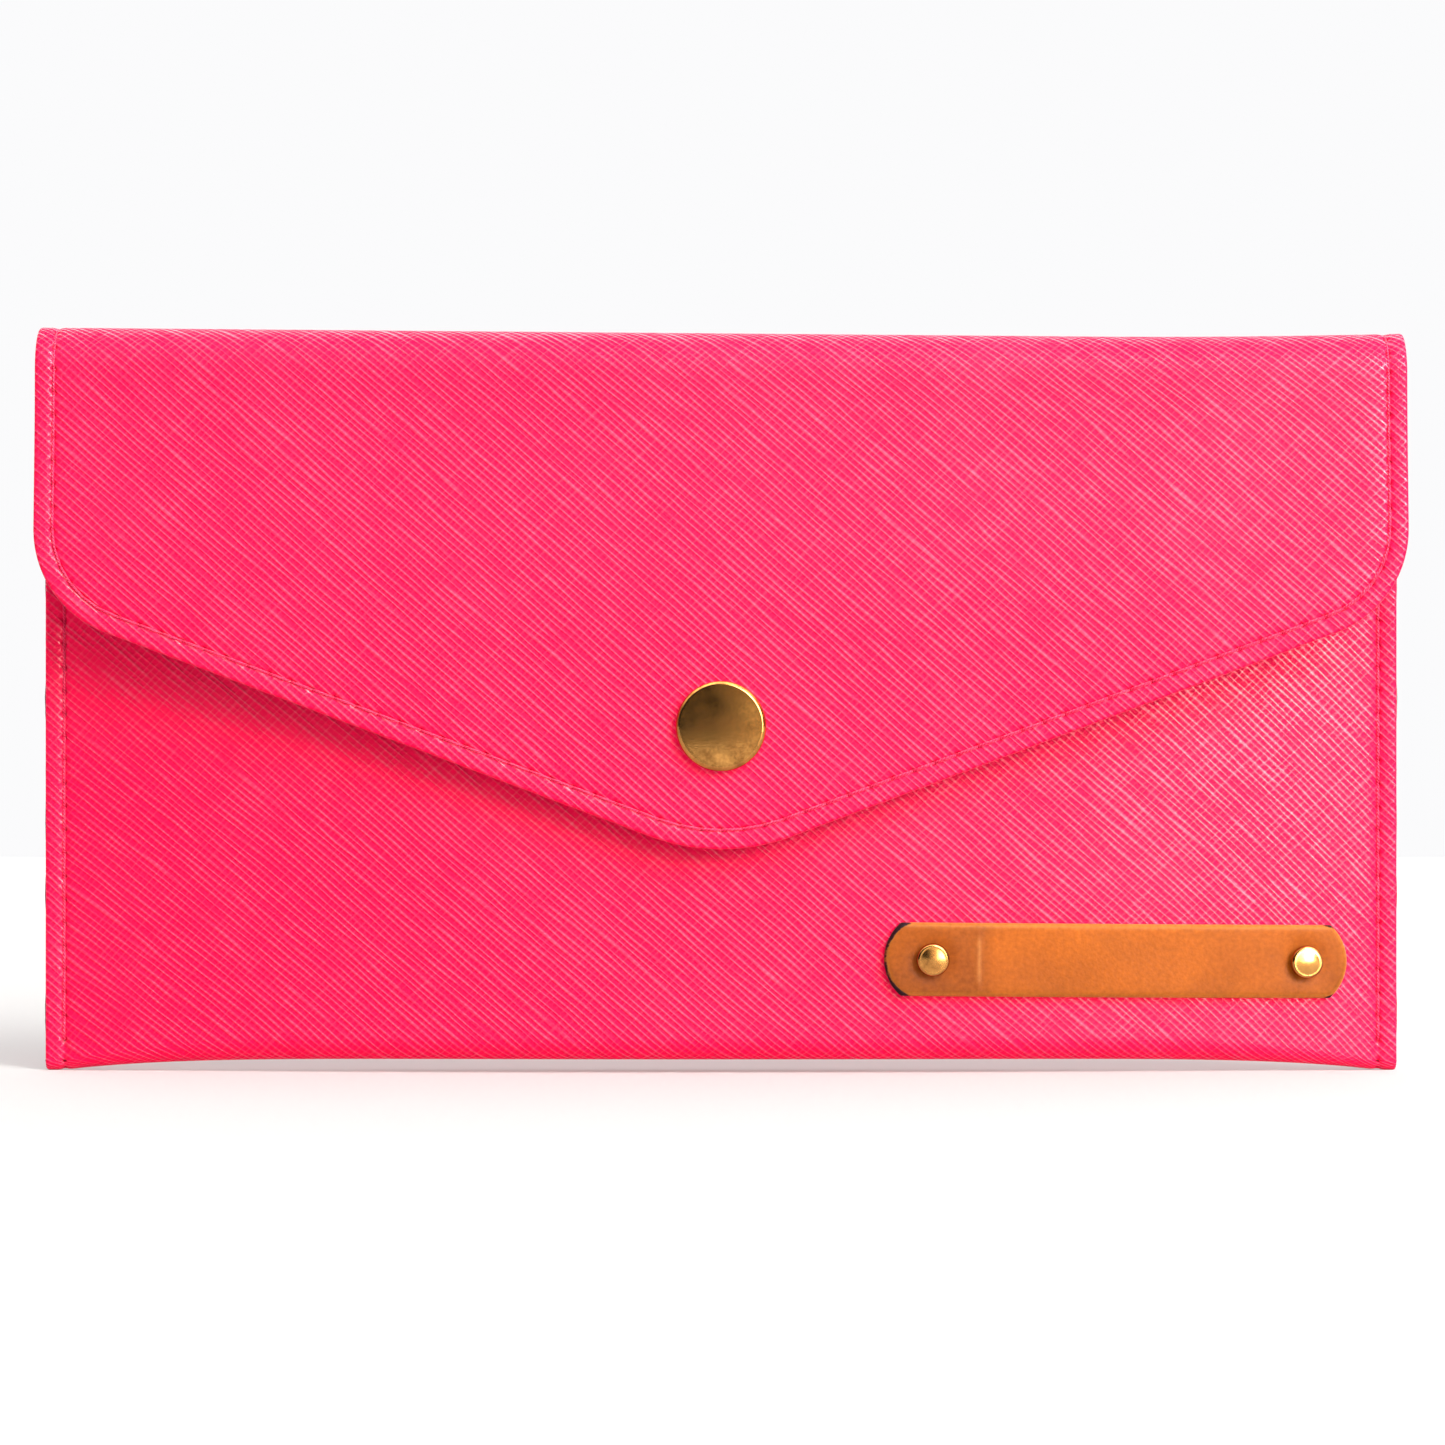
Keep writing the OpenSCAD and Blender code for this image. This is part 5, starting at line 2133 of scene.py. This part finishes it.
@dataclass
class Studio:
    """A white table in a white room, soft light from the right and above, and the camera.

    Attributes:
        distance: From the lens to the side seams.
        view_w: Width of the view at the side seams.
        eye: Height of the lens.
        aside: How far the lens stands to the right.
        seam_y: How far in front of the origin the side seams stand.
        sensor_w: Width of the camera's sensor, in mm.
        key_place: Where the soft window light stands.
        key_size: The width of that light.
        key_power: The power of that light, in watts.
        sky_power: The strength of the light from above.
        aim_z: The height that the window light points at.
    """

    distance: float = 0.7
    view_w: float = 203.2 * MM
    eye: float = 48.9 * MM
    aside: float = 0.2 * MM
    seam_y: float = 1.45 * MM
    sensor_w: float = 36.0
    key_place: tuple[float, float, float] = (0.75, -0.75, 0.62)
    key_size: float = 0.75
    key_power: float = 18.0
    sky_power: float = 1.3
    aim_z: float = 0.05

    def flat(
        self, name: str, finish: Finish, corners: Sequence[tuple[float, float, float]]
    ) -> Object:
        """Adds a flat four-cornered stage piece."""
        mesh = bpy.data.meshes.new(name)
        mesh.from_pydata(list(corners), [], [(0, 1, 2, 3)])
        thing = dress(add_object(name, mesh), finish)
        return thing

    def lights(self) -> None:
        """Adds a square soft light that faces the wallet, and a very soft one from above."""
        data = bpy.data.lights.new("key_light", "AREA")
        data.shape, data.size, data.energy = "SQUARE", self.key_size, self.key_power
        key = add_object("key_light", data)
        key.location = self.key_place
        key.rotation_mode = "QUATERNION"
        aim = Vector((0, 0, self.aim_z)) - Vector(self.key_place)
        key.rotation_quaternion = aim.to_track_quat("-Z", "Y")
        data = bpy.data.lights.new("sky_light", "SUN")
        data.energy, data.angle = self.sky_power, math.radians(60)
        add_object("sky_light", data).rotation_euler = (math.radians(38), 0, math.radians(25))

    def room(self) -> None:
        """Makes the white room: even behind the wallet, and brighter high up for what shines."""
        world = bpy.data.worlds.new("white_room")
        world.use_nodes = True
        tree = world.node_tree
        tree.nodes.clear()
        add = partial(add_node, tree)
        seen = add("ShaderNodeLightPath")
        way = add("ShaderNodeTexCoord").outputs["Generated"]
        axes = add("ShaderNodeSeparateXYZ", {"Vector": way})
        backdrop, shine, above = (
            add(
                RANGE,
                {
                    "Value": axes.outputs[axis],
                    "From Min": low,
                    "From Max": high,
                    "To Min": dim,
                    "To Max": bright,
                },
            )
            for axis, low, high, dim, bright in (
                ("Y", -0.25, 0.35, 0.7, 0.8),
                ("Y", -0.1, 0.3, 0.1, 1.9),
                ("Z", 0.4, 0.9, 0.0, 3.8),
            )
        )
        gloss = add(MATH, {0: shine, 1: above}, operation="ADD")
        strength = add(MIX, {0: seen.outputs["Is Glossy Ray"], 2: backdrop, 3: gloss})
        room, shown = (
            add("ShaderNodeBackground", {"Color": linear(colour), "Strength": power})
            for colour, power in (("#FFFFFF", strength), ("#FBFBFC", 1.0))
        )
        sides = {0: seen.outputs["Is Camera Ray"], 1: room, 2: shown}
        mixed = add("ShaderNodeMixShader", sides)
        add("ShaderNodeOutputWorld", {"Surface": mixed})
        bpy.context.scene.world = world

    def camera(self) -> None:
        """Adds the camera, level and straight in front."""
        data = bpy.data.cameras.new("camera")
        data.sensor_width = self.sensor_w
        data.lens = self.sensor_w * self.distance / self.view_w
        data.clip_start = 0.01
        camera = add_object("camera", data)
        camera.location = (self.aside, -self.distance - self.seam_y, self.eye)
        camera.rotation_euler = (math.pi / 2, 0, 0)
        bpy.context.scene.camera = camera

    def build(self) -> None:
        """Sets the stage, the lights, the room and the camera."""
        table = [(-3, -1.15, 0), (3, -1.15, 0), (3, 1.1, 0), (-3, 1.1, 0)]
        self.flat("floor", LightTable(), table)
        wall = [(-3, -1.5, -1.5), (-3, -1.5, 3), (1.1, -1.5, 3), (1.1, -1.5, -1.5)]
        card = self.flat("camera_side_card", RoomCard(), wall)
        card.visible_camera = card.visible_shadow = card.visible_diffuse = False
        self.lights()
        self.room()
        self.camera()
        bpy.context.scene.view_settings.view_transform = "Standard"


def main() -> None:
    """Builds the wallet and the studio."""
    logging.basicConfig(level=logging.INFO, format="%(name)s: %(message)s")
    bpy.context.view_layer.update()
    Studio().build()
    sheet = Sheet()
    Leatherwork(sheet).build()
    PressStud(sheet).build()
    NameStrap(sheet).build()
    InnerPockets().build()
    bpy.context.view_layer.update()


if __name__ == "__main__":
    main()
